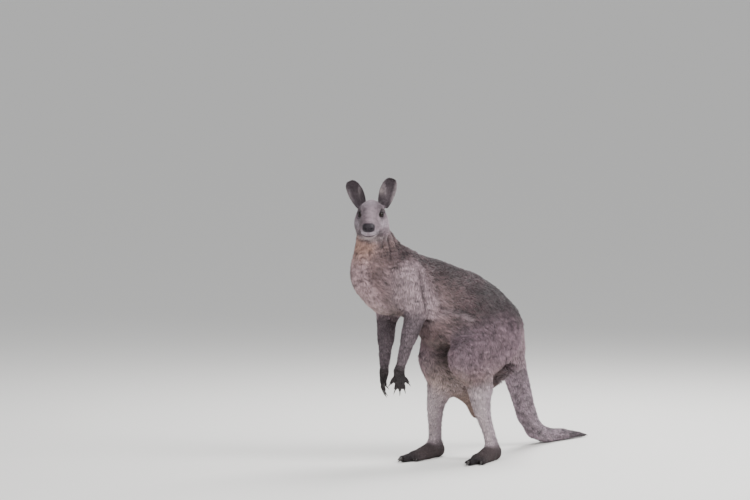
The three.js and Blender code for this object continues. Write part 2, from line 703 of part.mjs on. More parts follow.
pieces.neck = main(part(neckSolid, headCut.at, headCut.way)[0]);
// The root of the tail starts behind the thighs.
const rumpBlock = (by) =>
  beyond(tailCut(rump).at.addScaledVector(tailCut(rump).way, by), tailCut(rump).way)
    .intersect(beyond(V(0, 66 + by, 0), V(0, 1, 0)));
pieces.abdomen = main(rear.subtract(rumpBlock(0)));
const tailStart = rear.intersect(rumpBlock(GAP));
pieces.tail_root = main(part(tailStart, tailCut(tailCuts[0]).at, tailCut(tailCuts[0]).way)[0]);

// The tail, in lengths.
const tailLine = TAIL.slice(1).map((t) => t.at);
const tailWhole = tube(own(tail, 20), tailLine, { count: 17, sectors: 11, endDome: 1 });
let restOfTail = part(tailWhole, tailCut(tailCuts[0]).at, tailCut(tailCuts[0]).way)[1];
for (const [i, name] of ["tail_upper", "tail_lower", "tail_tip"].entries()) {
  const next = tailCuts[i + 1];
  const cut = next ? tailCut(next) : null;
  const [a, b] = cut ? part(restOfTail, cut.at, cut.way) : [restOfTail, null];
  pieces[name] = main(onFloor(a));
  restOfTail = b;
}

// Shanks, feet, toes and their claws.
for (const leg of legs) {
  const shankLine = [
    moved(leg.kneeAt, leg.kneeWay, -30),
    between(leg.knee, leg.ankle, 0.55, 0, 22, 0),
    between(leg.knee, leg.ankle, 0.8, 0, 8, 0),
    shifted(leg.ankle, 0, 4, -6),
  ];
  const shankRings = { count: 11, sectors: 11, startDome: 1, endDome: 1 };
  const shankWhole = (by) => tube(grown(own(leg.shank, 14), by), shankLine, shankRings);
  pieces.scrotum = main(pieces.scrotum.subtract(shankWhole(2 * GAP)));
  const ankleCut = { at: leg.ankle.clone().add(V(0, 0, 14)), way: V(0, 0, -1) };
  const belowKnee = part(shankWhole(0), leg.kneeAt, leg.kneeWay)[1];
  pieces[sided("shank", leg.side)] = main(part(belowKnee, ankleCut.at, ankleCut.way)[0]);
  const footOwn = own((p) => blend(leg.foot(p), leg.shank(p), limbSoft.foot), 6);
  const footForm = (p) => Math.max(footOwn(p), p.z - 90);
  const footLine = [leg.heel, leg.sole(0, 0, 26), leg.sole(90, 0, 22), leg.sole(176, -2, 18)];
  let foot = tube(footForm, footLine, { count: 9, sectors: 11, startDome: 2, endDome: 1 });
  foot = trim(foot, ankleCut.at.clone().add(V(0, 0, -GAP / 2)), UP);
  const way = leg.toeWay.clone().add(V(0, 0, -0.12)).normalize();
  for (const toe of leg.toes) {
    const middle = toe.from.clone().lerp(toe.to, 0.55);
    const knuckle = (toe.r[0] + toe.r[1]) / 2.25;
    const rear = cone(toe.from, middle, toe.r[0], knuckle);
    const form = blendAll([rear, cone(middle, moved(toe.to, way, 4), knuckle, toe.r[1])], 8);
    foot = foot.add(tube(form, [toe.from, middle, toe.to], { count: 3, sectors: 7, endPlane: way }));
    const horn = claw(moved(toe.to, way, GAP), way, V(0, 0, -0.4), toe.claw, toe.clawR);
    pieces[sided(`claw_${toe.name}_toe`, leg.side)] = main(onFloor(horn));
  }
  pieces[sided("foot", leg.side)] = main(onFloor(foot));
}

// Forearms, hands and their claws.
for (const arm of arms) {
  const line = [moved(arm.elbowAt, arm.elbowWay, -20), between(arm.elbow, arm.wrist, 0.5), arm.wrist];
  const foreRings = { count: 8, sectors: 11, startDome: 1, endDome: 1 };
  const foreWhole = (by) => tube(grown(own(arm.fore, 8), by), line, foreRings);
  // The forearm hangs against the chest, which gives way to it.
  const cleared = part(foreWhole(5 * GAP), moved(arm.elbowAt, arm.elbowWay, -GAP), arm.elbowWay)[1];
  pieces.chest = main(pieces.chest.subtract(cleared));
  pieces.abdomen = main(pieces.abdomen.subtract(cleared));
  const wristCut = { at: arm.place(-14, 0, 0), way: arm.elbowWay };
  const belowElbow = part(foreWhole(0), arm.elbowAt, arm.elbowWay)[1];
  pieces[sided("forearm", arm.side)] = main(part(belowElbow, wristCut.at, wristCut.way)[0]);
  const palm = own((p) => blend(arm.hand(p), arm.fore(p), limbSoft.hand), 4);
  const palmLine = [arm.place(-24, 0, 0), arm.place(8, 0, 0), arm.place(34, 0, 0)];
  const palmWhole = tube(palm, palmLine, { count: 4, sectors: 9, startDome: 1, endDome: 1 });
  let palmSolid = part(palmWhole, wristCut.at, wristCut.way)[1];
  for (const f of arm.fingers) {
    const knuckle = f.r * 0.95;
    const rear = cone(f.from, f.middle, f.r, knuckle);
    const form = blendAll([rear, cone(f.middle, moved(f.to, f.way, 3), knuckle, f.r * 0.75)], 5);
    const finger = tube(form, [f.from, f.middle, f.to], { count: 3, sectors: 6, endPlane: f.way });
    palmSolid = palmSolid.add(finger);
    const horn = claw(moved(f.to, f.way, GAP), f.way, f.flat, f.claw, 3.6);
    pieces[sided(`claw_${f.name}_finger`, arm.side)] = horn;
  }
  pieces[sided("hand", arm.side)] = main(palmSolid);
}

// The head, with seats for the eyes and the ears.
const headLine = [onHead(0, -72, -8), onHead(0, -20, -22), onHead(0, 40, -42), onHead(0, 80, -54)];
const headForm = own(head, 16);
const headWhole = tube(headForm, headLine, { count: 11, sectors: 20, startDome: 2, endDome: 4 });
let headSolid = part(headWhole, headCut.at, headCut.way)[1];
// An ear is a cup, deepest at its root, that opens forwards and a little outwards. An extra makes it larger.
const EARS = {
  left: { out: 1, root: onHead(47, -50, 30), tip: onHead(81, -66, 147) },
  right: { out: -1, root: onHead(-42, -50, 30), tip: onHead(-91, -66, 135) },
};
// Its share of the full width at each share of its length.
const EAR_OUTLINE = [
  [0, 0.6], [0.15, 0.78], [0.32, 0.92], [0.5, 1], [0.68, 0.98], [0.84, 0.86], [0.95, 0.62], [1, 0.3],
];
function ear({ out, root, tip }, extra = 0) {
  const axis = tip.clone().sub(root);
  const opening = onHead(0.3 * out, 1, 0.12).sub(onHead(0, 0, 0)).normalize();
  const across = opening.clone().cross(axis).normalize();
  const forward = axis.clone().cross(across).normalize();
  const loops = EAR_OUTLINE.map(([t, share]) => {
    const w = (share * EAR_WIDTH) / 2;
    const deep = w * (1.05 - 0.7 * t);
    const wall = EAR_WALL * (1.5 - 0.7 * t);
    const centre = moved(root, axis, t).addScaledVector(forward, 4 - 6 * Math.sin(Math.PI * t));
    if (t === 0) centre.addScaledVector(axis, -extra / 100);
    const point = (s, off) => {
      const sideways = moved(centre, across, (w + extra) * s);
      return sideways.addScaledVector(forward, off - deep * (1 - s * s));
    };
    const back = (s) => point(s, 1.5 * extra * (2 * s * s - 1));
    const front = (s) => point(s, wall * (1 - 0.5 * s * s) + 3 * extra);
    return [
      ...[-1, -0.66, -0.33, 0, 0.33, 0.66, 1].map(back),
      ...[0.86, 0.55, 0.2, -0.2, -0.55, -0.86].map(front),
    ];
  });
  return solid(loft(loops));
}
for (const [side, out] of [["left", 1], ["right", -1]]) {
  headSolid = headSolid.subtract(ear(EARS[side], 2 * GAP));
  pieces[sided("ear", side)] = main(ear(EARS[side]));
  const centre = eyeAt(out);
  const eyeball = (r) => solid(new THREE.SphereGeometry(r, 10, 7).translate(centre.x, centre.y, centre.z));
  headSolid = headSolid.subtract(eyeball(EYE_RADIUS + GAP));
  pieces[sided("eye", side)] = eyeball(EYE_RADIUS);
}
// The nose pad is the head's front, between the nostrils.
const nosePad = (by) => {
  const form = ball(onHead(0, 114, -43), [24 + by, 19 + by, 17 + by], HEAD_TURN);
  const line = [onHead(-8, 114, -43), onHead(8, 114, -43)];
  return tube(form, line, { count: 3, sectors: 8, startDome: 1, endDome: 1 });
};
pieces.nose = main(headSolid.intersect(nosePad(0)));
headSolid = headSolid.subtract(nosePad(GAP));
pieces.head = main(headSolid);

// ---------------------------------------------------------------- finish and placing
// The colour and roughness of the pieces whose name starts so.
const FUR = 0.95;
const LOOKS = [
  [/^claw/, 0x2a2526, 0.4],
  [/^eye/, 0x1a1210, 0.1],
  [/^nose/, 0x2b262d, 0.45],
  [/^(hand|foot)/, 0x3d3436, FUR],
  [/^(forearm|upper_arm)/, 0x6b6166, FUR],
  [/^(shank|scrotum)/, 0xb1a0a3, FUR],
  [/^tail/, 0x8a7a86, FUR],
  [/^(thigh|neck)/, 0x69585a, FUR],
  [/^/, 0x5b4a4e, FUR],
];

const group = new THREE.Group();
group.name = "kangaroo";
const bounds = new THREE.Box3();
const geometries = Object.entries(pieces).map(([name, s]) => [name, geometryOf(s)]);
for (const [, geometry] of geometries) {
  bounds.union(new THREE.Box3().setFromBufferAttribute(geometry.attributes.position));
}
// The origin lies on the floor, below the middle of the bounding box.
const middle = bounds.getCenter(V(0, 0, 0));
for (const [name, geometry] of geometries) {
  const [, color, roughness] = LOOKS.find(([pattern]) => pattern.test(name));
  geometry.translate(-middle.x, -middle.y, -bounds.min.z);
  const mesh = new THREE.Mesh(geometry, new THREE.MeshStandardMaterial({ color, roughness, metalness: 0 }));
  mesh.name = name;
  group.add(mesh);
}

export default group;
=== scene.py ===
# %% [markdown]
# # An eastern grey kangaroo
# A life-size museum model of an adult male, standing on its hind feet. The solid pieces of the frame give
# its true outline, out to the tips of the coat. This lesson lays one skin inside them, but for a bar behind
# the groin that lies outside, and grows a coat of solid tufts on that skin. Sizes are in metres, and a size
# that ends in * MM is in millimetres.

import math

import bmesh
import bpy
import numpy as np
from mathutils import Matrix, Vector, kdtree


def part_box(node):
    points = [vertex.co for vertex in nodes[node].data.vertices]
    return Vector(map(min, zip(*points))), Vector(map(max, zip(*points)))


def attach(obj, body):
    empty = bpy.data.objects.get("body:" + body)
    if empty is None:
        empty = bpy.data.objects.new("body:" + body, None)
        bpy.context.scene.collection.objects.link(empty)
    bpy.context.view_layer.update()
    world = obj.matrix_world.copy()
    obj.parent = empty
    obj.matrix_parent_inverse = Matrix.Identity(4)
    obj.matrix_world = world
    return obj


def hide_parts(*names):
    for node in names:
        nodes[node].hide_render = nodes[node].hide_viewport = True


MM = 0.001
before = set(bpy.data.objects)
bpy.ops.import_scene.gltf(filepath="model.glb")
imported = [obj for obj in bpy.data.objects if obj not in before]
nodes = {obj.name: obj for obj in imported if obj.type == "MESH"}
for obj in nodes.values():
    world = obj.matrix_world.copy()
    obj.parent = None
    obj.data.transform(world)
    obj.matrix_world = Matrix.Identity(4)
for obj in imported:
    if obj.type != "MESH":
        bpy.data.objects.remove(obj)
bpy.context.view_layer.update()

# %% [markdown]
# ## Where things are
# Every place is read from the boxes of the solids, so the looks stay on the frame if its sizes change.
# The head has a frame of its own: its origin lies midway between the eyes, x runs to the animal's left,
# y to the nose and z up. That is how an anatomist would give the places of the lids, nostrils and lips.


# %% Places from the frame
def middle_of(name):
    low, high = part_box(name)
    return np.array((low + high) / 2)


eye_middles = {side: middle_of("eye_" + side) for side in ("left", "right")}
eye_radius = float((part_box("eye_left")[1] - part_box("eye_left")[0]).z / 2)
head_origin = (eye_middles["left"] + eye_middles["right"]) / 2
head_x = eye_middles["left"] - eye_middles["right"]
head_x /= np.linalg.norm(head_x)
head_y = np.cross((0.0, 0.0, 1.0), head_x)
head_y /= np.linalg.norm(head_y)
if head_y @ (middle_of("nose") - head_origin) < 0:
    head_y = -head_y
HEAD_AXES = np.array([head_x, head_y, (0.0, 0.0, 1.0)])


def to_head(points):
    """Points of the model in the head's frame, in millimetres."""
    return (points - head_origin) @ HEAD_AXES.T / MM


def from_head(points):
    return np.asarray(points) * MM @ HEAD_AXES + head_origin


print("head turned", round(math.degrees(math.atan2(head_y[0], -head_y[1])), 1), "degrees, eyes",
      round(float(np.linalg.norm(eye_middles["left"] - eye_middles["right"]) / MM), 1), "mm apart")

# %% [markdown]
# ## Camera, floor and light
# The camera and the light come first, so that each later step can be looked at. A long lens from far away
# keeps the animal's proportions true. The floor is a wide pale sheet. One broad soft lamp stands on the
# animal's left, a weaker one by the camera, and a third lights the back's edge, as in a portrait studio.

# %% Camera
VIEW_AZIMUTH = 40
VIEW_ELEVATION = 4
LENS = 300
VIEW_WIDTH = 3.11
AIM_RIGHT = 0.0173
AIM_DOWN = 0.1466
azimuth = math.radians(VIEW_AZIMUTH)
elevation = math.radians(VIEW_ELEVATION)
back = np.array([
    math.sin(azimuth) * math.cos(elevation),
    -math.cos(azimuth) * math.cos(elevation),
    math.sin(elevation),
])
right = np.array([math.cos(azimuth), math.sin(azimuth), 0.0])
up = np.cross(back, right)
# The middle of the picture lies below the eyes, and a little to the right of them.
aim = head_origin + right * AIM_RIGHT - up * AIM_DOWN
camera_data = bpy.data.cameras.new("camera")
camera_data.lens = LENS
distance = VIEW_WIDTH * LENS / camera_data.sensor_width
camera = bpy.data.objects.new("camera", camera_data)
camera.location = aim + back * distance
camera.rotation_euler = Vector(-back).to_track_quat("-Z", "Y").to_euler()
camera_data.clip_end = distance * 20
bpy.context.scene.collection.objects.link(camera)
bpy.context.scene.camera = camera
print("camera", round(distance, 1), "m away,", round(camera.location.z, 2), "m above the floor")


# %% Colours and shader nodes
def linear(code):
    """A colour written as sRGB hex, in the linear numbers that shaders use."""
    values = [int(code[i : i + 2], 16) / 255 for i in (1, 3, 5)]
    return np.array([v / 12.92 if v <= 0.04045 else ((v + 0.055) / 1.055) ** 2.4 for v in values])


def add_node(tree, kind, links=(), **settings):
    """Adds a node, with its settings by name, and links or sets its inputs by name or number."""
    node = tree.nodes.new(kind)
    for name, value in settings.items():
        socket = node.inputs.get(name.replace("_", " "))
        if hasattr(node, name):
            setattr(node, name, value)
        else:
            socket.default_value = value
    for name, source in dict(links).items():
        if isinstance(source, bpy.types.NodeSocket):
            tree.links.new(source, node.inputs[name])
        else:
            node.inputs[name].default_value = source
    return node


# %% Floor and lamps
FLOOR_HALF = 120
floor_mesh = bpy.data.meshes.new("floor")
floor_corners = [(x * FLOOR_HALF, y * FLOOR_HALF, 0) for x, y in ((-1, -1), (1, -1), (1, 1), (-1, 1))]
floor_mesh.from_pydata(floor_corners, [], [(0, 1, 2, 3)])
floor = bpy.data.objects.new("floor", floor_mesh)
bpy.context.scene.collection.objects.link(floor)
floor_paint = bpy.data.materials.new("matt_floor_paint")
floor_paint.use_nodes = True
floor_shader = floor_paint.node_tree.nodes["Principled BSDF"]
floor_shader.inputs["Base Color"].default_value = (*linear("#e6e4e0"), 1)
floor_shader.inputs["Roughness"].default_value = 0.9
floor_mesh.materials.append(floor_paint)

world = bpy.data.worlds.new("studio")
world.use_nodes = True
world.node_tree.nodes["Background"].inputs["Color"].default_value = (*linear("#e9ebee"), 1)
world.node_tree.nodes["Background"].inputs["Strength"].default_value = 0.8
bpy.context.scene.world = world


def add_lamp(name, turn, height, away, size, power):
    """A square soft lamp, turned round the animal from the front of its frame and aimed at its chest."""
    data = bpy.data.lights.new(name, "AREA")
    data.size = size
    data.energy = power
    a = math.radians(turn)
    e = math.radians(height)
    way = Vector((math.sin(a) * math.cos(e), -math.cos(a) * math.cos(e), math.sin(e)))
    lamp = bpy.data.objects.new(name, data)
    target = Vector((0, -0.3, 0.65))
    lamp.location = target + way * away
    lamp.rotation_euler = (-way).to_track_quat("-Z", "Y").to_euler()
    bpy.context.scene.collection.objects.link(lamp)


add_lamp("key", 95, 42, 4.0, 2.2, 190)
add_lamp("fill", 20, 30, 5.0, 3.0, 110)
add_lamp("rim", 200, 48, 4.0, 2.0, 230)
print("3 lamps and a soft sky")

# %% [markdown]
# ## One skin from many solids
# Under its coat the real animal has one unbroken skin. The solids are grown a little so that they overlap,
# joined, and given one new surface of small even squares by a voxel remesh. That closes the thin cuts
# between them. The eyeballs go in too, so that the lids can be shaped over them later. The ears are left
# out, because their walls are thinner than the squares. A plug closes the groin between the thighs. It also
# runs back to the tail's root, as a bar through open air. No solid is there and no animal has such a bar, so
# that part of the plug is a fault: the skin on it lies up to 110 mm outside the solids.

# %% Helpers for meshes
def points_of(mesh):
    flat = np.empty(len(mesh.vertices) * 3, np.float32)
    mesh.vertices.foreach_get("co", flat)
    return flat.reshape(-1, 3).astype(np.float64)


def set_points(mesh, points):
    mesh.vertices.foreach_set("co", np.asarray(points, np.float32).ravel())
    mesh.update()


def normals_of(mesh):
    flat = np.empty(len(mesh.vertices) * 3, np.float32)
    mesh.vertex_normals.foreach_get("vector", flat)
    return flat.reshape(-1, 3).astype(np.float64)


def evaluated(obj, name):
    """The object with its modifiers applied, as a plain new object. The old object goes."""
    graph = bpy.context.evaluated_depsgraph_get()
    mesh = bpy.data.meshes.new_from_object(obj.evaluated_get(graph))
    bpy.data.objects.remove(obj)
    made = bpy.data.objects.new(name, mesh)
    bpy.context.scene.collection.objects.link(made)
    return made


def smoothstep(low, high, values):
    t = np.clip((values - low) / (high - low), 0, 1)
    return t * t * (3 - 2 * t)


def bump(values, width):
    """1 where the values are 0, falling softly to 0 at about twice the width."""
    return np.exp(-((values / width) ** 2))


class Neighbours:
    """The vertices next to each vertex of a mesh, for averaging over them."""

    def __init__(self, mesh):
        edges = np.empty(len(mesh.edges) * 2, np.int32)
        mesh.edges.foreach_get("vertices", edges)
        edges = edges.reshape(-1, 2)
        pairs = np.concatenate([edges, edges[:, ::-1]])
        pairs = pairs[np.argsort(pairs[:, 0], kind="stable")]
        self.other = pairs[:, 1]
        self.count = np.bincount(pairs[:, 0], minlength=len(mesh.vertices))
        self.start = np.concatenate([[0], np.cumsum(self.count)[:-1]])

    def mean(self, values):
        total = np.add.reduceat(values[self.other], self.start, axis=0)
        return total / self.count.reshape(-1, *[1] * (values.ndim - 1))

    def smooth(self, values, times, share):
        """Moves each value towards its neighbours' mean by that share, so many times."""
        share = np.broadcast_to(share, values.shape[:1]).reshape(-1, *[1] * (values.ndim - 1))
        for _ in range(times):
            values = values + share * (self.mean(values) - values)
        return values


# %% Join and remesh
SKIN_CELL = 3.4 * MM
OVERLAP = 0.5 * MM
EAR_ROOT = 16 * MM
FAR = 1
# The plug's solids, and between which heights over the scrotum's top it takes their corners.
GROIN = [("scrotum", -40 * MM, FAR), ("abdomen", -FAR, 22 * MM), ("tail_root", -FAR, 80 * MM)]
flesh = [n for n in nodes if not n.startswith(("eye_", "claw_"))]
body = [n for n in flesh + ["eye_left", "eye_right"] if not n.startswith("ear_")]


def merged_copy(name):
    """A node's mesh as a bmesh, with the corners of its loose triangles merged."""
    piece = bmesh.new()
    piece.from_mesh(nodes[name].data)
    bmesh.ops.remove_doubles(piece, verts=piece.verts, dist=1e-6)
    return piece


bm = bmesh.new()
for name in body + ["ear_left", "ear_right", "groin"]:
    if name == "groin":
        # The plug: a convex hull round corners of the belly, the scrotum and the tail's root.
        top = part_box("scrotum")[1].z
        piece = bmesh.new()
        for part, low, high in GROIN:
            for v in nodes[part].data.vertices:
                if top + low < v.co.z < top + high:
                    piece.verts.new(v.co)
        bmesh.ops.convex_hull(piece, input=piece.verts)
    else:
        piece = merged_copy(name)
    if name.startswith("ear_"):
        # The cup's bottom, which fills the seat that the head's solid has for it.
        lowest = min(v.co.z for v in piece.verts)
        rim = [v for v in piece.verts if v.co.z > lowest + EAR_ROOT]
        bmesh.ops.delete(piece, geom=rim, context="VERTS")
        bmesh.ops.convex_hull(piece, input=piece.verts)
    piece.normal_update()
    for v in piece.verts:
        v.co += v.normal * OVERLAP
    grown = bpy.data.meshes.new("grown")
    piece.to_mesh(grown)
    piece.free()
    bm.from_mesh(grown)
    bpy.data.meshes.remove(grown)
joined = bpy.data.meshes.new("joined")
bm.to_mesh(joined)
bm.free()
skin = bpy.data.objects.new("joined", joined)
bpy.context.scene.collection.objects.link(skin)
remesh = skin.modifiers.new("remesh", "REMESH")
remesh.mode = "VOXEL"
remesh.voxel_size = SKIN_CELL
skin = evaluated(skin, "skin")


def keep_largest_part(obj):
    """Deletes the loose specks that a remesh leaves inside small hollows."""
    bm = bmesh.new()
    bm.from_mesh(obj.data)
    left = set(bm.verts)
    parts = []
    while left:
        edge = [left.pop()]
        part = list(edge)
        while edge:
            near = {e.other_vert(v) for v in edge for e in v.link_edges} & left
            left -= near
            edge = list(near)
            part += edge
        parts.append(part)
    parts.sort(key=len)
    bmesh.ops.delete(bm, geom=[v for part in parts[:-1] for v in part], context="VERTS")
    bm.to_mesh(obj.data)
    bm.free()
    return len(parts)


print("skin of", len(skin.data.polygons), "squares,", keep_largest_part(skin), "parts, the largest kept")

# %% [markdown]
# ## Regions
# Coat length, its lie, colour and softness differ from head to foot. Each point of the skin takes the name
# of the nearest solid, and the names are then blurred along the surface. That gives weights that fade from
# one region to the next, as a real animal's coat does.

# %% Weights of the regions
REGIONS = ["head", "neck", "chest", "abdomen", "thigh", "shank", "foot", "upper_arm", "forearm", "hand",
           "tail_root", "tail", "scrotum", "ear"]
ALIKE = {"nose": "head", "eye": "head", "tail_upper": "tail", "tail_lower": "tail", "tail_tip": "tail"}


def region_of(name):
    bare = name.removesuffix("_left").removesuffix("_right")
    return REGIONS.index(ALIKE.get(bare, bare))


def marks_tree(names):
    """A search tree of the places on these solids, each with the number of its name in the list."""
    marks = []
    for i, name in enumerate(names):
        mesh = nodes[name].data
        marks += [(p.center, i) for p in mesh.polygons]
        marks += [(v.co, i) for v in mesh.vertices]
    tree = kdtree.KDTree(len(marks))
    for place, i in marks:
        tree.insert(place, i)
    tree.balance()
    return tree, names


tree = marks_tree(body)


def nearest_names(points):
    """The name of the solid that lies nearest to each point."""
    find, names = tree
    return np.array([find.find(p)[1] for p in points]), names


def region_weights(mesh, times):
    nearest, names = nearest_names(points_of(mesh))
    regions = np.array([region_of(name) for name in names])
    one_hot = np.eye(len(REGIONS), dtype=np.float32)[regions[nearest]]
    return Neighbours(mesh).smooth(one_hot, times, 0.8)


def by_region(weights, default, **values):
    """A value at each point, mixed from one value for each region."""
    table = np.array([values.get(r, default) for r in REGIONS], np.float64)
    return weights @ table


weights = region_weights(skin.data, 14)
print("weights for", len(REGIONS), "regions")

# %% [markdown]
# ## Rounding the flesh
# The solids have flat facets. Averaging each point with its neighbours rounds them, and would also thin the
# limbs. So the loss is averaged in the same way and given back: large forms keep their size, and only the
# facets go. The trunk has the widest facets and gets the most rounding, the fingers the least.

# %% Round
ROUNDING_TIMES = 210
softness = by_region(
    weights, 0.9, head=0.03, hand=0.01, foot=0.016, forearm=0.3, shank=0.4, thigh=0.8, tail=0.6, scrotum=0.3
)
skull = by_region(weights, 0, head=1) * smoothstep(20, -20, to_head(points_of(skin.data))[:, 1])
softness += 0.1 * skull
around = Neighbours(skin.data)
rough = points_of(skin.data)
rounded = around.smooth(rough, ROUNDING_TIMES, softness)
rounded += around.smooth(rough - rounded, ROUNDING_TIMES, softness)
set_points(skin.data, rounded)
print("mean move", round(float(np.abs(rounded - rough).mean() / MM), 2), "mm")

# %% [markdown]
# ## Down to the hide
# The solids end at the coat's tips, so the hide lies deeper by the coat's thickness: about six millimetres
# on the back, and about one on the muzzle and hands. Each point goes in along its own normal. The soles
# and the underside of the tail are pressed flat on the floor, so they come back down to it.

# %% Coat depth
COAT_DEPTH = dict(
    head=2, neck=5.5, chest=5.5, abdomen=6, thigh=5.5, shank=2.5, foot=1.5, upper_arm=4, forearm=2.5, hand=1,
    tail_root=1.5, tail=3, scrotum=2,
)


def coat_depth(weights, points):
    """The thickness of the coat in metres, which thins out along the muzzle."""
    muzzle = by_region(weights, 0, head=1) * smoothstep(10, 60, to_head(points)[:, 1])
    return by_region(weights, 6, **COAT_DEPTH) * (1 - 0.6 * muzzle) * MM


points = points_of(skin.data)
depth = coat_depth(weights, points)
inward = around.smooth(normals_of(skin.data), 6, 0.5)
inward /= np.linalg.norm(inward, axis=1, keepdims=True)
points -= inward * depth[:, None]
points[:, 2] -= depth * (1 - smoothstep(0, 25 * MM, points[:, 2]))
points[:, 2] = np.maximum(points[:, 2], 0)
set_points(skin.data, points)
print("coat", round(float(depth.min() / MM), 1), "to", round(float(depth.max() / MM), 1), "mm deep")

# %% [markdown]
# ## Finer squares where the face needs them
# The edges of lids, nostrils and lips are a few millimetres across. The squares there are split in two,
# and in two again round the eyes and the muzzle. The rest of the body keeps its coarser ones.


# %% Refine
def refine(obj, wanted, rounds):
    """Splits the faces whose corners are all wanted into four, and rounds the new points a little."""
    bm = bmesh.new()
    bm.from_mesh(obj.data)
    bm.verts.ensure_lookup_table()
    edges = {e for f in bm.faces if all(wanted[v.index] for v in f.verts) for e in f.edges}
    bmesh.ops.subdivide_edges(bm, edges=list(edges), cuts=1, use_grid_fill=True)
    bm.to_mesh(obj.data)
    bm.free()
    places = to_head(points_of(obj.data))
    near = smoothstep(-50, -30, places[:, 1]) * smoothstep(150, 120, np.abs(places[:, 2]))
    near *= smoothstep(150, 110, np.linalg.norm(places, axis=1))
    set_points(obj.data, Neighbours(obj.data).smooth(points_of(obj.data), rounds, 0.5 * near))


# In the head's frame: where the face begins, the muzzle's box, the reach round an eye, and its direction.
FACE_BACK = -46
MUZZLE_BACK, MUZZLE_SIDE, MUZZLE_LOW, MUZZLE_HIGH = 52, 45, -115, 5
EYE_REACH = 31
EYE_OUT = np.array([0.80, 0.59, 0.06])
eye_places = {side: to_head(eye_middles[side]) for side in eye_middles}
places = to_head(points_of(skin.data))
inside_head = by_region(weights, 0, head=1) > 0.5
refine(skin, inside_head & (places[:, 1] > FACE_BACK), 2)
places = to_head(points_of(skin.data))
x, y, z = places.T
close = (y > MUZZLE_BACK) & (np.abs(x) < MUZZLE_SIDE) & (z > MUZZLE_LOW) & (z < MUZZLE_HIGH)
for middle in eye_places.values():
    close |= np.linalg.norm(places - middle, axis=1) < EYE_REACH
refine(skin, close, 2)
around = Neighbours(skin.data)
weights = region_weights(skin.data, 14)
print("skin of", len(skin.data.polygons), "faces")

# %% [markdown]
# ## The face
# The face is modelled as a sculptor would do it in clay: each feature pushes the surface out or in, by an
# amount that fades with the distance from it. The lids are worked out from the eyeball itself. Seen from
# its middle, the opening is an almond, and the skin lies a little outside the ball all round it.


# %% Helpers for the face
def unit(vector):
    vector = np.asarray(vector, float)
    return vector / np.linalg.norm(vector)


def line_distance(points, path):
    """The distance of each point from a line through a few places."""
    path = np.asarray(path, float)
    best = np.full(len(points), np.inf)
    for a, b in zip(path[:-1], path[1:]):
        t = np.clip((points - a) @ (b - a) / ((b - a) @ (b - a)), 0, 1)
        best = np.minimum(best, np.linalg.norm(points - a - t[:, None] * (b - a), axis=1))
    return best


# The tilt of the eye's opening and how far it reaches from its middle, in degrees, and how square it is.
LID_TILT = 14
LID_WIDE, LID_UP, LID_DOWN = 58, 43, 37
LID_POWER = 1.8


def lid_frame(side):
    """The eye's own directions in the head's frame: outwards, to the inner corner, and up."""
    out = 1 if side == "left" else -1
    axis = unit(EYE_OUT * (out, 1, 1))
    inner = unit(out * np.cross((0, 0, 1), axis))
    upward = unit(np.cross(inner, axis) * out)
    upward *= np.sign(upward[2])
    across = math.cos(math.radians(LID_TILT))
    rise = math.sin(math.radians(LID_TILT))
    return axis, inner * across - upward * rise, upward * across + inner * rise




def lid_measure(side, places):
    """How far out each place lies, 0 in the middle of the eye's opening and 1 on its edge, and how high."""
    axis, inner, upward = lid_frame(side)
    away = places - eye_places[side]
    wide = np.degrees(np.arctan2(away @ inner, away @ axis)) / LID_WIDE
    high = np.degrees(np.arctan2(away @ upward, away @ axis))
    high = high / np.where(high > 0, LID_UP, LID_DOWN)
    beyond = 4 * smoothstep(26, 34, np.linalg.norm(away, axis=1))
    return (np.abs(wide) ** LID_POWER + np.abs(high) ** LID_POWER) ** (1 / LID_POWER) + beyond, high


# %% Lids
R = eye_radius / MM
# How far the lid lies outside the eyeball, and how deep inside it the skin behind the opening goes.
LID_THICK = 1.7
LID_SUNK = 2.6
places = to_head(points_of(skin.data))
for side, middle in eye_places.items():
    measure, high = lid_measure(side, places)
    away = places - middle
    far = np.linalg.norm(away, axis=1)
    lid = R + LID_THICK + 0.5 * bump(measure - 1.1, 0.12)
    opening = R - LID_SUNK + (lid - R + LID_SUNK) * smoothstep(0.86, 1.0, measure)
    target = np.where(measure < 1.0, opening, lid)
    share = (1 - smoothstep(1.25, 1.95, measure)) * smoothstep(34, 24, far)
    crease = 1.3 * bump(measure - 1.62, 0.13) * smoothstep(0.3, 0.8, high) * smoothstep(34, 24, far)
    moved = far + share * (target - far) - crease
    places = middle + away * (moved / np.maximum(far, 1e-6))[:, None]
set_points(skin.data, from_head(places))
print("lids round both eyes")

# %% Nose, lips and brow
MOUTH_Y = [60, 76, 90, 104, 115]
MOUTH_Z = [-68, -72, -77, -84, -87]
NOSTRIL = [(9.5, 116, -52), (13.5, 114, -50), (18, 108, -50.5), (20, 103, -53)]


# The bare pad of the nose: half its width and height, its middle's height, its back edge, its squareness.
NOSE_WIDE, NOSE_HIGH, NOSE_Z, NOSE_BACK, NOSE_POWER = 24, 17.5, -47, 88, 3.2


def nose_measure(places):
    """0 at the middle of the nose's pad, 1 on its edge, and more beyond it."""
    x, y, z = places.T
    wide = (np.abs(x) / NOSE_WIDE) ** NOSE_POWER
    high = (np.abs(z - NOSE_Z) / NOSE_HIGH) ** NOSE_POWER
    return (wide + high) ** (1 / NOSE_POWER) + (y < NOSE_BACK) * 5


def lip_height(places):
    """The height above the line between the lips."""
    return places[:, 2] - np.interp(places[:, 1], MOUTH_Y, MOUTH_Z)


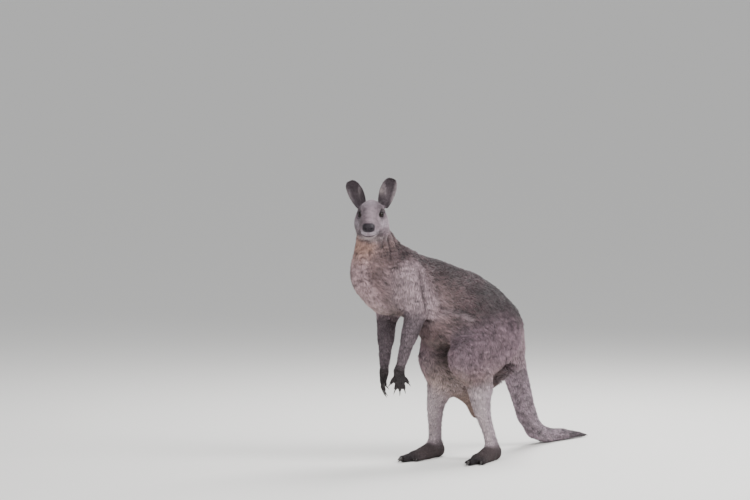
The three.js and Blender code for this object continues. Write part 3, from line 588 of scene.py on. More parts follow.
for _ in range(2):
    places = to_head(points_of(skin.data))
    x, y, z = places.T
    mirrored = places * (np.where(x < 0, -1, 1)[:, None] * (1, 0, 0) + (0, 1, 1))
    outward = normals_of(skin.data) @ HEAD_AXES.T
    front = by_region(weights, 0, head=1)
    pad = nose_measure(places)
    slit = line_distance(mirrored, NOSTRIL)
    hole = np.linalg.norm(mirrored - NOSTRIL[0], axis=1)
    lips = lip_height(places)
    along_lips = smoothstep(70, 84, y) * (np.abs(z + 75) < 30)
    push = 0.9 * (1 - smoothstep(0.9, 1.02, pad)) - 0.8 * bump(pad - 1.1, 0.07)
    push += 1.6 * bump(slit - 5.5, 2.6) * (y > 92) - 3.4 * bump(slit, 2.3) - 3.4 * bump(hole, 3.4)
    push -= 1.7 * bump(x, 1.5) * smoothstep(96, 104, y) * smoothstep(-42, -54, z) * smoothstep(-86, -82, z)
    push += along_lips * (1.3 * bump(lips - 7, 5) + 0.9 * bump(lips + 6, 4) - 2.7 * bump(lips, 1.5))
    push += 1.8 * bump(np.linalg.norm(mirrored - (25, 84, -57), axis=1), 13)
    push += 1.6 * bump(line_distance(mirrored, [(30, 22, 20), (46, 2, 23), (52, -18, 18)]), 6)
    push += 1.4 * bump(line_distance(mirrored, [(53, 4, -22), (56, -22, -20), (58, -44, -14)]), 7)
    push -= 1.2 * bump(line_distance(mirrored, [(42, 24, -16), (33, 40, -28)]), 3)
    push += 5.0 * bump(np.linalg.norm(mirrored - (0, -34, 52), axis=1), 26)
    set_points(skin.data, from_head(places + outward * (0.5 * push * front)[:, None]))
print("nose pad, nostrils, lips, whisker pads and brow")

# %% [markdown]
# ## Folds of the loose skin
# A kangaroo's skin is loose. It gathers in upright folds over the nape when the head turns, and in soft
# creases behind the elbow and where the flank meets the thigh. The nape's folds are a wave along the back
# of the neck. The creases are grooves along a few places, with a low swelling on each side.


# %% Folds
def noise(points, size, seed):
    """A smooth random pattern between about -1 and 1, with features of about that size."""
    random = np.random.default_rng(seed)
    total = np.zeros(len(points))
    for _ in range(9):
        way = unit(random.normal(size=3))
        turns = points @ way * (2 * math.pi / (size * random.uniform(1.4, 2.6)))
        total += np.sin(turns + random.uniform(0, 2 * math.pi))
    return total / 3


def groove(points, path, width, deep):
    """How far to push out: a groove of that depth along a path, with a low swelling beside it."""
    away = line_distance(points, path)
    return deep * (0.45 * bump(away - 2.2 * width, width) - bump(away, width))


neck_low, neck_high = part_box("neck")
nape = np.array([neck_low[0] * 0.35 + neck_high[0] * 0.65, neck_high[1] - 0.06, neck_high[2] - 0.05])
NAPE_WAY = unit((0.36, 0.93, 0))
FOLD_SPACING = 25 * MM


def nape_wave(points):
    """The height of the nape's folds, from about -1 in a groove to 1 on a ridge."""
    on_nape = smoothstep(150 * MM, 90 * MM, np.linalg.norm((points - nape) * (1, 1, 0.8), axis=1))
    phase = (points @ NAPE_WAY + 6 * MM * noise(points, 70 * MM, 3)) / FOLD_SPACING
    return on_nape * np.cos(2 * math.pi * phase) * (0.75 + 0.35 * noise(points, 60 * MM, 4))


def from_box(name, *offsets):
    """Places near a solid: positive offsets count from its low corner, and the others from its high one."""
    low, high = (np.array(corner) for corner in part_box(name))
    return [np.where(np.array(offset) > 0, low + offset, high + offset) for offset in offsets]


# Creases by name: behind and before the shoulder, and above the belly where the thigh pushes it up.
creases = {"chest": from_box("chest", (0.138, 0.035, -0.006), (0.141, 0.018, -0.111), (0.168, 0.05, -0.194),
                             (0.192, 0.098, -0.245))}
for side in ("left", "right"):
    mirror = np.array((1 if side == "left" else -1, 1, 1))
    creases["arm_" + side] = from_box(
        "upper_arm_" + side, *[mirror * p for p in ((-0.032, 0.1, -0.05), (-0.026, 0.12, -0.15),
                                                    (-0.026, 0.136, -0.2), (-0.036, 0.143, -0.25))]
    )
    creases["belly_" + side] = from_box(
        "thigh_" + side, *[mirror * p for p in ((-0.165, 0.001, 0.33), (-0.143, 0.02, 0.34),
                                                (-0.112, 0.085, 0.334), (-0.09, 0.135, 0.312))]
    )
points = points_of(skin.data)
push = 3.4 * MM * nape_wave(points) * by_region(weights, 0, neck=1, chest=0.9, upper_arm=0.3)
loose = by_region(weights, 0, chest=1, abdomen=1, thigh=1, neck=1, upper_arm=1)
push += groove(points, creases["chest"], 10 * MM, 4 * MM) * loose
for side, out in (("left", 1), ("right", -1)):
    thigh_low, thigh_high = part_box("thigh_" + side)
    push += groove(points, creases["arm_" + side], 9 * MM, 6 * MM) * loose
    push += groove(points, creases["belly_" + side], 12 * MM, 5 * MM) * loose
    swell = creases["belly_" + side] - np.array([0, 0, 34 * MM])
    push += 9 * MM * bump(line_distance(points, swell), 22 * MM) * loose
    outer = thigh_high[0] if out > 0 else thigh_low[0]
    flank = [
        (outer - out * 0.07, thigh_low[1] + 0.02, thigh_high[2] - 0.11),
        (outer - out * 0.03, thigh_low[1] + 0.11, thigh_high[2] - 0.075),
        (outer - out * 0.03, thigh_low[1] + 0.22, thigh_high[2] - 0.05),
    ]
    push += groove(points, flank, 13 * MM, 3.5 * MM) * by_region(weights, 0, thigh=1, abdomen=1, chest=1)
push += 1.6 * MM * noise(points, 85 * MM, 5) * by_region(weights, 0, chest=1, abdomen=1, thigh=1, neck=0.6)
set_points(skin.data, points + normals_of(skin.data) * push[:, None])
print("folds of up to", round(float(push.max() / MM), 1), "mm")

# %% [markdown]
# ## The ears
# An ear is a thin cup, so it is made from its own solid rather than from the remesh: its triangles are
# paired into squares, subdivided until they are smooth, and thinned by the depth of its short coat. A union
# then joins each ear to the head in one closed mesh, and the crease between them is softened.


# %% Ears
def smooth_copy(name, levels, seam=40):
    """A node's solid as a new smooth object of small squares."""
    piece = merged_copy(name)
    limit = math.radians(seam)
    bmesh.ops.join_triangles(
        piece, faces=piece.faces, angle_face_threshold=limit, angle_shape_threshold=limit * 1.5
    )
    mesh = bpy.data.meshes.new(name)
    piece.to_mesh(mesh)
    piece.free()
    obj = bpy.data.objects.new("smooth_" + name, mesh)
    bpy.context.scene.collection.objects.link(obj)
    subdivision = obj.modifiers.new("subdivision", "SUBSURF")
    subdivision.levels = subdivision.render_levels = levels
    obj = evaluated(obj, "smooth_" + name)
    # Subdivision shrinks a faceted form, so it is stretched back to its solid's box.
    low, high = (np.array(corner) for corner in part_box(name))
    points = points_of(obj.data)
    own_low, own_high = points.min(axis=0), points.max(axis=0)
    set_points(obj.data, low + (points - own_low) * (high - low) / (own_high - own_low))
    return obj


EAR_COAT = 0.4 * MM
ear_roots = {}
for side in ("left", "right"):
    ear = smooth_copy("ear_" + side, 3)
    points = points_of(ear.data)
    ear_mesh = Neighbours(ear.data)
    inward = ear_mesh.smooth(normals_of(ear.data), 8, 0.6)
    set_points(ear.data, ear_mesh.smooth(points - inward * EAR_COAT, 2, 0.4))
    ear_roots[side] = points[points[:, 2] < points[:, 2].min() + EAR_ROOT].mean(axis=0)
    union = skin.modifiers.new("union", "BOOLEAN")
    union.operation = "UNION"
    union.solver = "MANIFOLD"
    union.object = ear
    skin = evaluated(skin, "skin")
    bpy.data.objects.remove(ear)
points = points_of(skin.data)
near_root = sum(
    smoothstep(34 * MM, 22 * MM, np.linalg.norm(points - root, axis=1)) for root in ear_roots.values()
)
set_points(skin.data, Neighbours(skin.data).smooth(points, 5, 0.5 * np.clip(near_root, 0, 1)))
print("skin and ears:", len(skin.data.polygons), "faces")

# %% [markdown]
# ## Fewer triangles where the form is plain
# The back and the thighs need far fewer triangles than the face. A weighted decimation keeps most of those
# on the face and the ears, and thins the hands and feet a little. The skin still has about twice as many as
# it ends with, so that the markings are painted and the coat is grown on a fine surface.

# %% Decimate
GROUND_TRIANGLES = 380000
LITRES_IN_CUBIC_METRE = 1000


def triangles(mesh):
    """How many triangles the mesh's faces make."""
    return sum(len(p.vertices) - 2 for p in mesh.polygons)


def thinned(obj, fine, goal):
    """The object in about that many triangles, with the fewest lost where fine is near 1."""
    group = obj.vertex_groups.new(name="thin_out")
    for level in range(11):
        chosen = np.nonzero(np.round((1 - fine) * 10) == level)[0]
        group.add(chosen.tolist(), level / 10, "REPLACE")
    decimate = obj.modifiers.new("decimate", "DECIMATE")
    decimate.vertex_group = group.name
    decimate.ratio = min(1, goal / triangles(obj.data))
    obj = evaluated(obj, "skin")
    obj.vertex_groups.clear()
    return obj


def close_slits(obj):
    """Cuts out the faces round any edge that hasn't exactly two, and fills the small holes that leaves."""
    bm = bmesh.new()
    bm.from_mesh(obj.data)
    for _ in range(4):
        bad = {v for e in bm.edges if len(e.link_faces) != 2 for v in e.verts}
        if not bad:
            break
        bmesh.ops.delete(bm, geom=list({f for v in bad for f in v.link_faces}), context="FACES")
        bmesh.ops.delete(bm, geom=[v for v in bm.verts if not v.link_faces], context="VERTS")
        rims = [e for e in bm.edges if len(e.link_faces) == 1]
        bmesh.ops.holes_fill(bm, edges=rims, sides=0)
    bmesh.ops.triangulate(bm, faces=[f for f in bm.faces if len(f.verts) > 4])
    left = sum(len(e.link_faces) != 2 for e in bm.edges)
    volume = bm.calc_volume() * LITRES_IN_CUBIC_METRE
    bm.to_mesh(obj.data)
    bm.free()
    return left, round(volume, 1)


tree = marks_tree(body + ["ear_left", "ear_right"])
weights = region_weights(skin.data, 6)
places = to_head(points_of(skin.data))
fine = by_region(weights, 0, ear=0.9) + by_region(weights, 0, head=1) * smoothstep(-50, -30, places[:, 1])
fine = np.maximum(fine, by_region(weights, 0, hand=0.85, foot=0.7, forearm=0.2))
skin = thinned(skin, fine, GROUND_TRIANGLES)
print("open edges left and litres:", close_slits(skin))
weights = region_weights(skin.data, 10)
around = Neighbours(skin.data)
print("skin of", triangles(skin.data), "triangles")

# %% [markdown]
# ## The lie of the coat
# Hair grows backwards from the nose, over the neck, and down each limb to its tip. Every solid gets one
# direction, which leads on to the next solid, and all hair also hangs down a little. Smoothing these
# directions along the surface joins them into one flowing pattern with no sudden partings.

# %% Directions
HAND_ON = {"shank": "foot", "thigh": "shank", "upper_arm": "forearm", "forearm": "hand"}
NEXT = {
    "neck": "chest", "chest": "abdomen", "abdomen": "tail_root", "tail_root": "tail_upper",
    "tail_upper": "tail_lower", "tail_lower": "tail_tip",
}
LIE_DROP = 0.25


def way_to(start, end):
    return unit(middle_of(end) - middle_of(start))


lie_ways = {"head": -head_y, "nose": -head_y, "scrotum": np.array([0, 0, -1.0])}
lie_ways |= {start: way_to(start, end) for start, end in NEXT.items()}
lie_ways["tail_tip"] = lie_ways["tail_lower"]
for side in ("left", "right"):
    for start, end in HAND_ON.items():
        lie_ways[f"{start}_{side}"] = way_to(f"{start}_{side}", f"{end}_{side}")
    lie_ways["hand_" + side] = way_to("hand_" + side, "claw_third_finger_" + side)
    lie_ways["foot_" + side] = way_to("foot_" + side, "claw_fourth_toe_" + side)
    lie_ways["ear_" + side] = unit(middle_of("ear_" + side) - ear_roots[side])
    lie_ways["eye_" + side] = -head_y
points = points_of(skin.data)
nearest, names = nearest_names(points)
lie = np.array([lie_ways[name] for name in names])[nearest] - (0, 0, LIE_DROP)
lie = around.smooth(lie, 45, 0.8)
out = around.smooth(normals_of(skin.data), 4, 0.5)
out /= np.linalg.norm(out, axis=1, keepdims=True)
lie -= out * (lie * out).sum(axis=1, keepdims=True)
lie /= np.maximum(np.linalg.norm(lie, axis=1, keepdims=True), 1e-6)
print("the coat's lie at", len(lie), "points")

# %% [markdown]
# ## Markings
# An eastern grey kangaroo is grizzled grey-brown above and paler below, with a buff throat, near-black
# hands, toes and tail tip, and a dark bare nose. The markings are painted on the points of the skin, region
# by region, then patch by patch with soft edges. Painted shade and highlight go in with them: shade in the
# creases, the nape's folds, under the scrotum, between the thighs, on the right cheek, in the nostrils and
# deep in the ears, and highlight on the swellings beside the belly's creases. The hide and each tuft read
# the same painted colour.


# %% Paint
def paint(colour, share):
    """Lays a colour over the markings and painted shading, as thickly as the share says at each point."""
    share = np.clip(share, 0, 1)[:, None]
    marking[:] = marking * (1 - share) + linear(colour) * share


BASE = dict(
    head="#85737b", neck="#76615f", chest="#6f5a5b", abdomen="#4b3a3e", thigh="#7e6a73", shank="#aa9aa2",
    foot="#4a3f40", upper_arm="#a89399", forearm="#695c62", hand="#3a3031", tail_root="#8d7880",
    tail="#86757f", scrotum="#917a72", ear="#5c5056",
)
soft = around.smooth(weights, 70, 0.8)
share = {name: by_region(soft, 0, **{name: 1}) for name in REGIONS}
share["head"] = by_region(weights, 0, head=1)
share["ear"] = by_region(weights, 0, ear=1)
marking = soft @ np.array([linear(BASE[name]) for name in REGIONS])
x, y, z = points.T
trunk = share["chest"] + share["abdomen"] + share["tail_root"] + share["thigh"] + share["neck"]
facing_up = smoothstep(0.15, 0.9, out[:, 2])
facing_down = smoothstep(-0.3, -0.95, out[:, 2])
front = out @ unit((0.1, -0.98, 0.1))
patch = noise(points, 110 * MM, 11)
paint("#382b2f", 0.85 * facing_up * np.clip(trunk - 0.6 * share["thigh"], 0, 1))
towards_back = smoothstep(-0.15, 0.45, out[:, 2]) * (share["abdomen"] + 0.6 * share["chest"])
paint("#231a1e", 0.85 * towards_back)
paint("#4a373b", 0.45 * smoothstep(0.1, 1.2, patch) * (trunk - 0.5 * share["thigh"]))
paint("#7d686c", 0.25 * smoothstep(0.2, 1.3, -patch) * trunk)
chest_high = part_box("chest")[1]
abdomen_low, abdomen_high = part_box("abdomen")
scrotum_low, scrotum_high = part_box("scrotum")
throat_line = from_box("chest", (0.111, 0.034, 0.49), (0.096, 0.019, -0.046), (0.103, 0.013, -0.113),
                       (0.116, 0.024, -0.162), (0.151, 0.084, -0.236))
from_throat = line_distance(points, throat_line)
on_front = smoothstep(66 * MM, 32 * MM, from_throat) * (share["chest"] + share["neck"])
paint("#b0969a", 0.85 * on_front)
throat = on_front * smoothstep(chest_high[2] - 0.09, chest_high[2] + 0.03, z)
paint("#a5816f", 0.85 * throat)
paint("#93807c", 0.6 * facing_down * (share["chest"] + share["abdomen"]))
paint("#8d7b79", 0.5 * facing_down * share["thigh"])
middle_x = (abdomen_low[0] + abdomen_high[0]) / 2
# Painted shade darkens each crease along its groove. Beside each belly crease, the swelling that the thigh
# pushes up gets a painted highlight.
for name, path in creases.items():
    colour, thick = ("#5d4b4c", 0.5) if name == "chest" else ("#3c3034", 0.75)
    paint(colour, thick * bump(line_distance(points, path), 9 * MM) * (trunk + share["upper_arm"]))
    if name.startswith("belly"):
        from_swelling = line_distance(points, path - np.array([0, 0, 26 * MM]))
        paint("#a08c91", 0.7 * bump(from_swelling, 14 * MM) * trunk)
# Painted shade in the grooves between the nape's folds.
paint("#463a3d", 0.75 * smoothstep(0.1, 0.8, -nape_wave(points)) * (share["neck"] + share["chest"]))
inner = bump(x - middle_x, 0.075) * smoothstep(abdomen_low[2] + 0.22, abdomen_low[2] + 0.05, z)
paint("#9d8a87", 0.75 * inner * (share["abdomen"] + share["thigh"]) * smoothstep(0.25, -0.15, y))
# Painted shade on the lowest part of the scrotum, underneath it.
paint("#4b3c3e", 0.5 * smoothstep(0.02, -0.03, z - scrotum_low.z - 0.02) * share["scrotum"])
# Painted shade between the thighs, behind the scrotum and low down, over the plug that fills the gap.
between_thighs = smoothstep(0.05, 0.12, 0.17 - np.abs(x - middle_x))
behind = smoothstep(-0.01, 0.03, y - scrotum_high.y) * between_thighs
low_down = smoothstep(0.10, 0.02, z - scrotum_high.z)
paint("#4e4144", 0.85 * behind * low_down * (share["scrotum"] + share["abdomen"] + share["tail_root"]))
for side, turn in (("left", 1), ("right", -1)):
    shank_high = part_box("shank_" + side)[1].z
    knee = smoothstep(shank_high - 0.07, shank_high + 0.01, z) * (share["shank"] + share["thigh"])
    paint("#a08468", 0.22 * knee * (x * turn > 0) * bump(z - shank_high + 0.02, 0.06))
    paint("#c0b0b4", 0.8 * share["shank"] * smoothstep(-0.2, 0.7, front) * (x * turn > 0))
    paint("#554a4e", 0.5 * share["shank"] * smoothstep(-0.4, -0.95, front) * (x * turn > 0))
    toe = middle_of("claw_fourth_toe_" + side)
    paint("#241f22", 0.9 * share["foot"] * smoothstep(0.16, 0.05, np.linalg.norm(points - toe, axis=1)))
    finger = middle_of("claw_third_finger_" + side)
    near_finger = smoothstep(0.13, 0.07, np.linalg.norm(points - finger, axis=1))
    paint("#2b2527", 0.9 * near_finger * (share["hand"] + share["forearm"]))
tail_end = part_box("tail_tip")[1].y
paint("#2e272a", 0.9 * share["tail"] * smoothstep(tail_end - 0.30, tail_end - 0.05, y))
paint("#5b4e55", 0.5 * share["tail"] * facing_up)
behind_tail_root = share["tail_root"] * smoothstep(-0.2, 0.4, out[:, 1])
paint("#53474a", 0.55 * bump(x - middle_of("tail_root")[0], 0.04) * behind_tail_root)

# %% Paint the face and the ears
def near_line(at, path, width):
    """1 for the head's points on a line over it, falling softly to 0 on both sides."""
    return head * bump(line_distance(at, path), width)


places = to_head(points)
hy, hz = places[:, 1], places[:, 2]
mirrored = np.abs(places) * (1, 0, 0) + places * (0, 1, 1)
head = share["head"]
muzzle = smoothstep(20, 55, hy) * head
paint("#766870", 0.7 * head * smoothstep(60, 10, hy) * smoothstep(-30, 20, hz))
# Painted shade on the head's right side, away from the key lamp: the cheek and the side of the muzzle.
paint("#483d41", 0.85 * near_line(places, [(-30, 70, -35), (-44, 30, -30), (-52, 0, -45)], 24))
paint("#a1939c", 0.5 * head * bump(np.linalg.norm((places - (-8, 14, 44)) * (0.8, 0.7, 1), axis=1), 22))
paint("#675a5f", 0.7 * near_line(mirrored, [(26, 26, 24), (44, 8, 26), (56, -18, 20)], 9))
paint("#b5a6ae", 0.85 * near_line(places, [(4, 40, 6), (8, 92, -28)], 13))
paint("#b8abb4", 0.7 * near_line(mirrored, [(44, 30, -38), (56, -8, -34), (60, -34, -30)], 17))
paint("#7a6c72", 0.6 * near_line(mirrored, [(30, 60, -40), (40, 30, -22)], 8))
off_middle = smoothstep(6, 22, mirrored[:, 0] + 12)
paint("#b7abb4", 0.85 * head * smoothstep(48, 76, hy) * bump(hz + 69, 12) * off_middle)
paint("#a89a9b", 0.75 * head * smoothstep(-84, -94, hz))
lips = lip_height(places)
paint("#c0b2ac", 0.7 * head * bump(lips + 9, 4) * smoothstep(64, 84, hy) * (np.abs(hz + 80) < 30))
paint("#1c1517", 0.9 * head * bump(lips, 2.8) * smoothstep(70, 84, hy) * (np.abs(hz + 75) < 30))
for side in eye_places:
    measure, high = lid_measure(side, places)
    paint("#2a2025", 0.9 * head * smoothstep(2.7, 1.3, measure + 0.5 * (high < 0)))
    paint("#1a1417", head * smoothstep(1.32, 1.14, measure))
paint("#3d3136", 0.75 * near_line(mirrored, [(44, 20, -12), (47, 24, -22), (46, 30, -32)], 3.5))
on_pad = smoothstep(1.12, 1.0, nose_measure(places)) * head
paint("#262026", on_pad)
# Painted shade in the nostrils' openings, near black on the dark pad.
paint("#050405", 0.9 * on_pad * bump(line_distance(mirrored, NOSTRIL), 4.5))
ear_open = np.zeros(len(points))
ear_edge = np.zeros(len(points))
for side, turn in (("left", 1), ("right", -1)):
    on_ear = share["ear"] * (np.linalg.norm(points - middle_of("ear_" + side), axis=1) < 0.12)
    upwards = lie_ways["ear_" + side]
    outwards = unit(np.cross(upwards, head_y)) * turn
    outwards *= np.sign(outwards @ head_x) * turn
    tall = (points - ear_roots[side]) @ upwards
    tall /= tall[on_ear > 0.5].max()
    wide = (points - ear_roots[side]) @ outwards
    edges = wide[on_ear > 0.5].min(), wide[on_ear > 0.5].max()
    wide = (wide - sum(edges) / 2) / (edges[1] - edges[0]) * 2
    inside = smoothstep(0.0, 0.5, out @ head_y) * on_ear
    ear_open = np.maximum(ear_open, inside)
    ear_edge = np.maximum(ear_edge, smoothstep(0.75, 0.95, np.abs(wide)) * on_ear)
    paint("#4a3f45", 0.95 * inside)
    # Painted shade deep in the lower hollow of the ear's cup.
    paint("#1c1417", 0.95 * inside * bump(wide + 0.3 - 0.35 * tall, 0.3) * smoothstep(0.8, 0.45, tall))
    paint("#8f8285", 0.25 * inside * bump(wide - 0.5, 0.25) * bump(tall - 0.45, 0.25))
    paint("#b3a5a4", 0.6 * inside * bump(wide + 0.72, 0.12) * bump(tall - 0.34, 0.16))
    paint("#a79a9d", 0.5 * ear_edge * smoothstep(0.9, 0.5, tall))
    paint("#3a3033", 0.8 * on_ear * smoothstep(0.90, 0.98, tall))
# The pale groin, and the pale inside of each leg below it.
groin = from_box("scrotum", (0.104, 0.033, 0.171))[0]
paint("#b8a5a3", 0.85 * bump(np.linalg.norm(points - groin, axis=1), 0.05) * (1 - share["shank"]))
for side, turn in (("left", 1), ("right", -1)):
    shank_top = from_box("shank_" + side, (0.04 * turn, 0.06, -0.02))[0]
    near_top = bump(np.linalg.norm((points - shank_top) * (1, 1, 1.2), axis=1), 0.055)
    paint("#b8a09a", 0.8 * near_top * smoothstep(0.5, -0.4, out[:, 0] * turn))
attribute = skin.data.color_attributes.new("marking", "FLOAT_COLOR", "POINT")
attribute.data.foreach_set("color", np.c_[marking, np.ones(len(marking))].astype(np.float32).ravel())
skin.data.color_attributes.active_color = attribute
print("markings painted, mean", np.round(marking.mean(axis=0), 3))

# %% [markdown]
# ## The hide's finish
# Between the hairs the hide itself hardly shows. It is matt and carries the same markings, a little darker,
# as fur does in its depth. Where the coat is too short to stand off the skin, on the muzzle, hands and feet,
# fine bump a little over a millimetre across gives its grain. The nose is bare, damp skin with a soft gloss.


# %% Hide and nose
def new_material(name):
    material = bpy.data.materials.new(name)
    material.use_nodes = True
    return material, material.node_tree, material.node_tree.nodes["Principled BSDF"]


def marked(tree, factor):
    """The painted markings and shading times a factor, which is a number or a node's output."""
    paint_node = add_node(tree, "ShaderNodeAttribute", attribute_name="marking")
    links = {"Vector": paint_node.outputs["Color"]}
    scale = add_node(tree, "ShaderNodeVectorMath", links, operation="SCALE")
    if isinstance(factor, float):
        scale.inputs["Scale"].default_value = factor
    else:
        tree.links.new(factor, scale.inputs["Scale"])
    return scale.outputs["Vector"]


def grain(tree, size, strength, height):
    """Fine bump of about that size in millimetres, fixed to the animal's own coordinates."""
    place = add_node(tree, "ShaderNodeTexCoord")
    cells = add_node(
        tree, "ShaderNodeTexNoise", {"Vector": place.outputs["Object"]}, Scale=1 / (size * MM), Detail=3.0
    )
    noise_in = {"Height": cells.outputs["Fac"]}
    return add_node(tree, "ShaderNodeBump", noise_in, Strength=strength, Distance=height)


hide, hide_tree, hide_shader = new_material("furred_hide")
hide_shader.inputs["Roughness"].default_value = 0.9
hide_shader.inputs["Specular IOR Level"].default_value = 0.2
hide_tree.links.new(marked(hide_tree, 0.72), hide_shader.inputs["Base Color"])
hide_grain = grain(hide_tree, 1.3, 0.7, 0.6 * MM)
hide_tree.links.new(hide_grain.outputs["Normal"], hide_shader.inputs["Normal"])

bare, bare_tree, bare_shader = new_material("damp_nose_leather")
bare_shader.inputs["Roughness"].default_value = 0.42
bare_shader.inputs["Specular IOR Level"].default_value = 0.2
bare_tree.links.new(marked(bare_tree, 1.0), bare_shader.inputs["Base Color"])
pebbles = grain(bare_tree, 1.6, 0.5, 0.5 * MM)
bare_tree.links.new(pebbles.outputs["Normal"], bare_shader.inputs["Normal"])

skin.data.materials.clear()
skin.data.materials.append(hide)
skin.data.materials.append(bare)
face_corners = [list(p.vertices) for p in skin.data.polygons]
on_nose = [int(all(on_pad[v] > 0.5 for v in corners)) for corners in face_corners]
skin.data.polygons.foreach_set("material_index", on_nose)
skin.data.polygons.foreach_set("use_smooth", [True] * len(face_corners))
skin.data.update()
print("hide on all but the nose's", sum(on_nose), "faces")

# %% [markdown]
# ## One lock of hair
# The coat is made of small solid locks. A lock is a closed sliver of ten triangles: a narrow root, a wider
# middle that arches off the skin, and a point that dips again. It remembers how far along it each corner
# lies, which later makes the hair paler towards its tip.

# %% Tuft
TUFT = [
    (0, -0.35, 0), (0, 0.35, 0), (0, 0, 0.6),
    (0.5, -0.5, 0.9), (0.5, 0.5, 0.9), (0.5, 0, 1.6),
    (1, 0, 1.0),
]
CORNERS = len(TUFT)
sides = [(i, (i + 1) % 3) for i in range(3)]
faces = [(0, 1, 2)] + [(3 + i, 3 + j, 6) for i, j in sides]
faces += [f for i, j in sides for f in ((i, j, 3 + j), (i, 3 + j, 3 + i))]
tuft_mesh = bpy.data.meshes.new("tuft")
tuft_mesh.from_pydata(TUFT, [], faces)
bm = bmesh.new()
bm.from_mesh(tuft_mesh)
bmesh.ops.recalc_face_normals(bm, faces=bm.faces)
bm.to_mesh(tuft_mesh)
bm.free()
tuft_mesh.attributes.new("along", "FLOAT", "POINT").data.foreach_set("value", [v[0] for v in TUFT])
tuft_mesh.polygons.foreach_set("use_smooth", [True] * len(faces))
tuft = bpy.data.objects.new("tuft", tuft_mesh)
print("a tuft of", len(faces), "triangles")

# %% [markdown]
# ## The coat's measures
# Each point of the skin also knows how long, wide, steep and crowded its tufts are. Hair is longest over the
# back and flanks and shortest on the muzzle, the ears and the scrotum. There is none on the eyes, the nose,
# the line of the mouth or the soles.

# %% Length, width and crowding
TUFT_LENGTH = dict(
    head=8, neck=18, chest=19, abdomen=21, thigh=20, shank=12, foot=6, upper_arm=16, forearm=12, hand=6,
    tail_root=20, tail=15, scrotum=5, ear=4.5,
)
TUFT_WIDTH = dict(head=1.5, ear=1.3, hand=1.7, foot=2.0, forearm=2.3, shank=2.4, scrotum=1.8)
length = by_region(soft, 20, **TUFT_LENGTH)
width = by_region(soft, 3.0, **TUFT_WIDTH)
on_face = smoothstep(-40, 40, hy) * head
length *= 1 - 0.35 * on_face
for side in eye_places:
    measure = lid_measure(side, places)[0]
    length *= 1 - 0.55 * head * smoothstep(2.4, 1.2, measure)
length *= 1 - 0.35 * smoothstep(60, 90, hy) * head
length += 5.0 * ear_edge * ear_open
width *= 1 - 0.25 * on_face
lean = np.radians(by_region(soft, 12, head=13, ear=16, hand=10, foot=9, neck=14, scrotum=14))
length *= 1 - 0.6 * share["tail"] * smoothstep(tail_end - 0.12, tail_end, y)
crowd = (20 / length) * (3 / width)
opened = np.ones(len(points))
for side in eye_places:
    opened *= 1 - head * smoothstep(1.22, 1.12, lid_measure(side, places)[0])
opened *= 1 - smoothstep(1.06, 1.0, nose_measure(places)) * head
opened *= 1 - head * smoothstep(82, 92, hy) * bump(lip_height(places), 1.5)
tip_height = z + length * MM * (lie[:, 2] * np.cos(lean) + out[:, 2] * np.sin(lean + 0.2))
opened *= smoothstep(0.5 * MM, 3.5 * MM, np.minimum(z, tip_height))
claw_names = sorted(n for n in nodes if n.startswith("claw_"))
claw_tree = marks_tree(claw_names)
to_claw = np.array([claw_tree[0].find(p)[2] for p in points])
opened *= smoothstep(2.0 * MM, 5 * MM, to_claw)
length = np.minimum(length, 6 + to_claw / MM * 0.9)
crowd *= opened
print("tufts", round(float(length.min()), 1), "to", round(float(length.max()), 1), "mm long")


# %% Store them on the skin
def store(mesh, name, kind, values):
    key = "vector" if kind == "FLOAT_VECTOR" else "value"
    layer = mesh.attributes.new(name, kind, "POINT")
    layer.data.foreach_set(key, np.asarray(values, np.float32).ravel())


store(skin.data, "out", "FLOAT_VECTOR", out)
store(skin.data, "lie", "FLOAT_VECTOR", lie)
store(skin.data, "length", "FLOAT", length * MM)
store(skin.data, "width", "FLOAT", width * MM)
store(skin.data, "lean", "FLOAT", lean)
HELPERS = ["out", "lie", "length", "width", "lean"]
print("stored", HELPERS)

# %% [markdown]
# ## The tree that grows the coat
# Geometry Nodes scatter points over the skin, turn a tuft at each one to stand out of the skin and to lie
# along the coat, and vary its length and shade. A stretched noise gathers neighbours into wavy rows of
# clumps, as the wind and the animal's tongue do. Realize Instances turns it all into plain mesh.

# %% Growing tree
ROW, ROW_WIDE, PATCH = 9 * MM, 26 * MM, 60 * MM
ROOT_DEPTH = 0.5 * MM
grower = bpy.data.node_groups.new("coat_of_tufts", "GeometryNodeTree")
grower.interface.new_socket("Skin", in_out="INPUT", socket_type="NodeSocketGeometry")
inputs = {}
for name, kind, value in (
    ("Tuft", "NodeSocketObject", tuft), ("Seed", "NodeSocketInt", 1), ("Thickness", "NodeSocketFloat", 0.4),
    ("Ruffle", "NodeSocketFloat", 1.0), ("Hair", "NodeSocketMaterial", None),
):
    made = grower.interface.new_socket(name, in_out="INPUT", socket_type=kind)
    inputs[name] = (made.identifier, value)
grower.interface.new_socket("Coat", in_out="OUTPUT", socket_type="NodeSocketGeometry")
given = add_node(grower, "NodeGroupInput").outputs


def read(name, kind="FLOAT"):
    node = add_node(grower, "GeometryNodeInputNamedAttribute", data_type=kind, Name=name)
    return next(o for o in node.outputs if o.enabled and o.name == "Attribute")


def calc(operation, *values, kind="ShaderNodeMath"):
    return add_node(grower, kind, dict(enumerate(values)), operation=operation).outputs[0]


def chance(seed):
    number = calc("ADD", given["Seed"], float(seed))
    node = add_node(grower, "FunctionNodeRandomValue", {"Seed": number}, data_type="FLOAT")
    return calc("SUBTRACT", next(o for o in node.outputs if o.enabled), 0.5)


def keep(geometry, name, kind, value):
    settings = dict(data_type=kind, domain="POINT", Name=name)
    node = add_node(grower, "GeometryNodeStoreNamedAttribute", {"Geometry": geometry}, **settings)
    grower.links.new(value, next(s for s in node.inputs if s.enabled and s.name == "Value"))
    return node.outputs["Geometry"]


